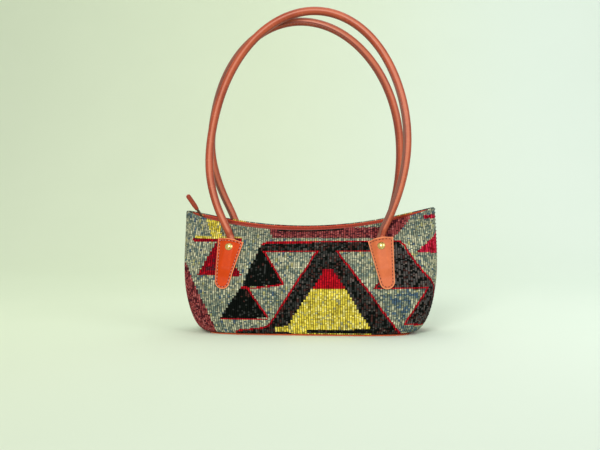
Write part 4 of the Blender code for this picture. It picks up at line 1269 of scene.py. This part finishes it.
def tab_outline(inset):
    """The tab's outline at an inset: points across and down, going round and closed."""
    radius = TAB_BOTTOM_WIDTH / 2
    straight = TAB_LENGTH - radius
    slope = math.atan2((TAB_TOP_WIDTH - TAB_BOTTOM_WIDTH) / 2, straight)
    points = [(-TAB_TOP_WIDTH / 2 + inset / math.cos(slope) + inset * math.tan(slope), inset)]
    points.append((-radius + inset, straight))
    points += [(-(radius - inset) * math.cos(turn), straight + (radius - inset) * math.sin(turn))
               for turn in np.linspace(0.1, math.pi - 0.1, 22)]
    points.append((radius - inset, straight))
    points.append((TAB_TOP_WIDTH / 2 - inset / math.cos(slope) - inset * math.tan(slope), inset))
    return np.array(points + points[:1])


def tab_half_width(down):
    radius = TAB_BOTTOM_WIDTH / 2
    straight = TAB_LENGTH - radius
    if down <= straight:
        return (TAB_TOP_WIDTH + (TAB_BOTTOM_WIDTH - TAB_TOP_WIDTH) * down / straight) / 2
    past = min((down - straight) / radius, 1.0)
    return radius * math.sqrt(1 - past ** 2)


def edge_distance(across, down):
    """How far a point of the tab is from its outline."""
    line = tab_outline(0.0)
    best = 1.0
    for (x1, y1), (x2, y2) in zip(line, line[1:]):
        run = max((x2 - x1) ** 2 + (y2 - y1) ** 2, 1e-12)
        share = min(max(((across - x1) * (x2 - x1) + (down - y1) * (y2 - y1)) / run, 0), 1)
        best = min(best, math.hypot(across - x1 - share * (x2 - x1),
                                    down - y1 - share * (y2 - y1)))
    return best


TAB_DOWNS = np.concatenate([
    np.linspace(0, TAB_LENGTH - TAB_BOTTOM_WIDTH / 2, TAB_ROWS - 15)[:-1],
    TAB_LENGTH - TAB_BOTTOM_WIDTH / 2 * (1 - np.sin(np.linspace(0, math.pi / 2 - 0.03, 17)))])
TAB_TONES = {("front", "left"): dye(208, 66, 5), ("front", "right"): dye(214, 112, 70),
             ("back", "left"): dye(208, 88, 42), ("back", "right"): dye(214, 80, 30)}
# The front left tab was cut a little wider on its outer side
TAB_EXTRA = {("front", "left"): 0.0022}


def leather_tab(side_name, end_name):
    side, end = SIDES[side_name], ENDS[end_name]
    name = side_name + "_" + end_name + "_leather_tab"
    extra = TAB_EXTRA.get((side_name, end_name), 0.0) / (TAB_TOP_WIDTH / 2)
    downs = {}

    def widen(across):
        return across * (1 + extra) if across > 0 else across

    def place(column, row):
        points = []
        for c, r in zip(column, row):
            down = TAB_DOWNS[r]
            share = c / TAB_COLUMNS * 2 - 1
            share = math.copysign(abs(share) ** 0.85, share)
            across = share * tab_half_width(down)
            near = edge_distance(across, down)
            across = widen(across)
            crown = -CROWN_DEPTH * math.exp(-(near / CROWN_REACH) ** 2)
            channel = -CHANNEL_DEPTH * math.exp(-((near - STITCH_INSET) / CHANNEL_REACH) ** 2)
            x, z = tab_place(end, across, down)
            lift = tab_lift(across, down) + TAB_THICKNESS + crown + channel
            point = skin_point(x, z, lift, side)[0]
            downs[tuple(round(value, 6) for value in point)] = near
            points.append(point)
        return points

    tab = mapped_grid(TAB_COLUMNS, len(TAB_DOWNS) - 1, place)
    bmesh.ops.recalc_face_normals(tab, faces=tab.faces[:])
    facing = sum((face.normal * face.calc_area() for face in tab.faces), Vector())
    if facing.y * side < 0:
        bmesh.ops.reverse_faces(tab, faces=tab.faces[:])
    hide = leather_finish(name, TAB_TONES[(side_name, end_name)], edge=dye(240, 150, 104),
                          wear=0.35)
    made = piece(name, tab, hide)
    near = [downs[tuple(round(value, 6) for value in vert.co)] * 1000
            for vert in made.data.vertices]
    made.data.attributes.new("edge", "FLOAT", "POINT").data.foreach_set("value", near)
    wall(made, TAB_THICKNESS - 0.0006)
    rounding = made.modifiers.new("rounding", "BEVEL")
    rounding.width = 0.0003
    rounding.segments = 2
    rounding.limit_method = "ANGLE"
    rounding.angle_limit = math.radians(60)
    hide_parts(side_name + "_" + end_name + "_tab")

    line = tab_outline(STITCH_INSET)
    run = run_along(*line.T)
    count = round(run[-1] / TAB_STITCH_PITCH)
    threads, holes = bmesh.new(), bmesh.new()
    for k in range(count):
        for part, at in (("thread", run[-1] * (k + 0.5) / count), ("hole", run[-1] * k / count)):
            spots = []
            for step in (-TAB_STITCH_HALF, TAB_STITCH_HALF):
                across = widen(float(np.interp((at + step) % run[-1], run, line[:, 0])))
                down = float(np.interp((at + step) % run[-1], run, line[:, 1]))
                x, z = tab_place(end, across, down)
                lift = tab_lift(across, down) + TAB_THICKNESS - 0.00025
                spots.append(skin_point(x, z, lift, side))
            (first, out), (second, _) = spots
            here, along = (first + second) / 2, second - first
            if part == "thread":
                stitch(threads, here + out * 0.00012, along, out,
                       length=0.0027, width=0.0008, height=0.0006)
            else:
                stitch(holes, here + out * 0.00016, along, out,
                       length=0.0019, width=0.0013, height=0.0005)
    piece(name + "_thread", threads, TAB_THREADS[end_name])
    piece(name + "_awl_holes", holes, AWL_HOLE_SHADE)


TAB_THREADS = {"left": thread_finish("pale_tab_thread", dye(186, 176, 170)),
               "right": thread_finish("dull_tab_thread", dye(198, 122, 96))}
# painted shade: dark drops mark the stitch holes, where shade falls in the leather
AWL_HOLE_SHADE = thread_finish("awl_hole", dye(58, 22, 20))
for side_name in SIDES:
    for end_name in ENDS:
        leather_tab(side_name, end_name)

# ---------------------------------------------------------------- rivets
# A brass rivet with a polished domed head goes through tab, handle end and
# cloth; its shank is closed by a flat cap inside the bag.
RIVET_BRASS = brass_finish("rivet_brass", dye(222, 196, 128), dye(176, 142, 78), 0.22)
SHANK_RADIUS, SHANK_PAST_CLOTH = 0.0014, 0.0008
# From the middle of the head to the leather: radius, and height above the tab
HEAD = ((0.0, 0.0026), (0.0016, 0.00245), (0.0029, 0.0020), (0.0038, 0.0014),
        (0.0043, 0.0008), (0.0048, 0.0006), (0.0049, 0.0003), (0.0047, 0.0),
        (SHANK_RADIUS, 0.0))
for side_name, side in SIDES.items():
    for end_name, end in ENDS.items():
        x, z = tab_place(end, 0.0, RIVET_DROP)
        place, normal = skin_point(x, z, 0.0, side)
        seat = Matrix.Translation(place) @ normal.to_track_quat("Z", "Y").to_matrix().to_4x4()
        under = tab_lift(0.0, RIVET_DROP) + TAB_THICKNESS
        profile = [(radius, under + height) for radius, height in HEAD]
        profile += [(radius, -CLOTH - SHANK_PAST_CLOTH) for radius in (SHANK_RADIUS, 0.0)]
        turned = bmesh.new()
        verts = [turned.verts.new((radius, 0, height)) for radius, height in profile]
        edges = [turned.edges.new(pair) for pair in zip(verts, verts[1:])]
        bmesh.ops.spin(turned, geom=verts + edges, cent=(0, 0, 0), axis=(0, 0, 1),
                       angle=2 * math.pi, steps=40, use_merge=True)
        bmesh.ops.remove_doubles(turned, verts=turned.verts[:], dist=SAME_PLACE)
        bmesh.ops.recalc_face_normals(turned, faces=turned.faces[:])
        bmesh.ops.transform(turned, matrix=seat, verts=turned.verts[:])
        name = side_name + "_" + end_name
        head = piece(name + "_rivet_head", turned, RIVET_BRASS)
        head.data.set_sharp_from_angle(angle=math.radians(60))
        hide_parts(name + "_rivet")
        dress(name + "_rivet_cap", RIVET_BRASS)

# ---------------------------------------------------------------- floor and light
# The bag stands on a plain pale floor under soft studio light.
ROOM_COLOUR = dye(230, 242, 222)
COVE_START, COVE_RADIUS = 0.7, 1.2
FLOOR_HALF_WIDTH, FLOOR_FRONT, FLOOR_RUN = 5.0, -4.0, 9.0
ground = bmesh.new()
bmesh.ops.create_grid(ground, x_segments=4, y_segments=60, size=1.0)
for vert in ground.verts:
    # flat to the front, then a wide cove, then straight up
    reach = (vert.co.y + 1) / 2 * FLOOR_RUN + FLOOR_FRONT
    turn = min(max((reach - COVE_START) / COVE_RADIUS, 0.0), math.pi / 2)
    above = max(reach - COVE_START - COVE_RADIUS * math.pi / 2, 0.0)
    vert.co = (vert.co.x * FLOOR_HALF_WIDTH,
               min(reach, COVE_START) + COVE_RADIUS * math.sin(turn),
               COVE_RADIUS * (1 - math.cos(turn)) + above)
floor_mesh = bpy.data.meshes.new("floor")
ground.to_mesh(floor_mesh)
floor_mesh.shade_smooth()
ground.free()
floor = shown("floor", floor_mesh)
pale = Finish("floor_paint", 0.9)
grain = pale.noise(3.0, detail=4.0)
across, forth = pale.parts(pale.place())
warm = pale.mix(grain, dye(224, 236, 208), dye(230, 241, 214))
cool = pale.mix(grain, dye(232, 246, 234), dye(236, 248, 237))
tone = pale.mix(pale.smooth(across, -0.5, 0.6), warm, cool)
# painted shade: the floor in front lies nearest to the lights, so it is painted a little darker
pale.set("Base Color", pale.dimmed(tone, 0.70 + pale.smooth(forth, -0.9, 0.2) * 0.30))
floor_mesh.materials.append(pale.material)

# the room's own colour where it is seen or mirrored, half a unit of soft light elsewhere
world = bpy.data.worlds.new("room")
bpy.context.scene.world = world
world.use_nodes = True
room = Graph(world.node_tree)
room.nodes.remove(room.nodes["Background"])
seen, mirrored_ray = (room.add("ShaderNodeLightPath", output=kind)
                      for kind in ("Is Camera Ray", "Is Glossy Ray"))
soft, plain = (room.add("ShaderNodeBackground", None, {"Color": colour, "Strength": strength})
               for colour, strength in (((1.0, 1.0, 0.98, 1.0), 0.50), (ROOM_COLOUR, 1.0)))
room.feed(room.nodes["World Output"].inputs["Surface"],
          room.add("ShaderNodeMixShader", None,
                   {0: seen.math("MAXIMUM", seen, mirrored_ray), 1: soft, 2: plain}))


def softbox(name, place, aim, size, power, colour):
    lamp = bpy.data.lights.new(name, "AREA")
    lamp.shape = "SQUARE"
    lamp.size = size
    lamp.energy = power
    lamp.color = colour
    away = Vector(place) - Vector(aim)
    shown(name, lamp).matrix_world = (Matrix.Translation(place)
                                      @ away.to_track_quat("Z", "Y").to_matrix().to_4x4())


softbox("key_light", (-0.20, -1.9, 1.15), (0, 0, 0.14), 0.8, 24.0, (1.0, 0.99, 0.96))
softbox("fill_light", (1.6, -0.9, 0.9), (0, 0, 0.15), 1.0, 9.5, (0.96, 0.98, 1.0))
softbox("rear_light", (0.0, 0.6, 2.2), (0, 0.5, 0.0), 1.6, 12.0, (1.0, 1.0, 1.0))

bpy.context.scene.view_settings.view_transform = "Standard"
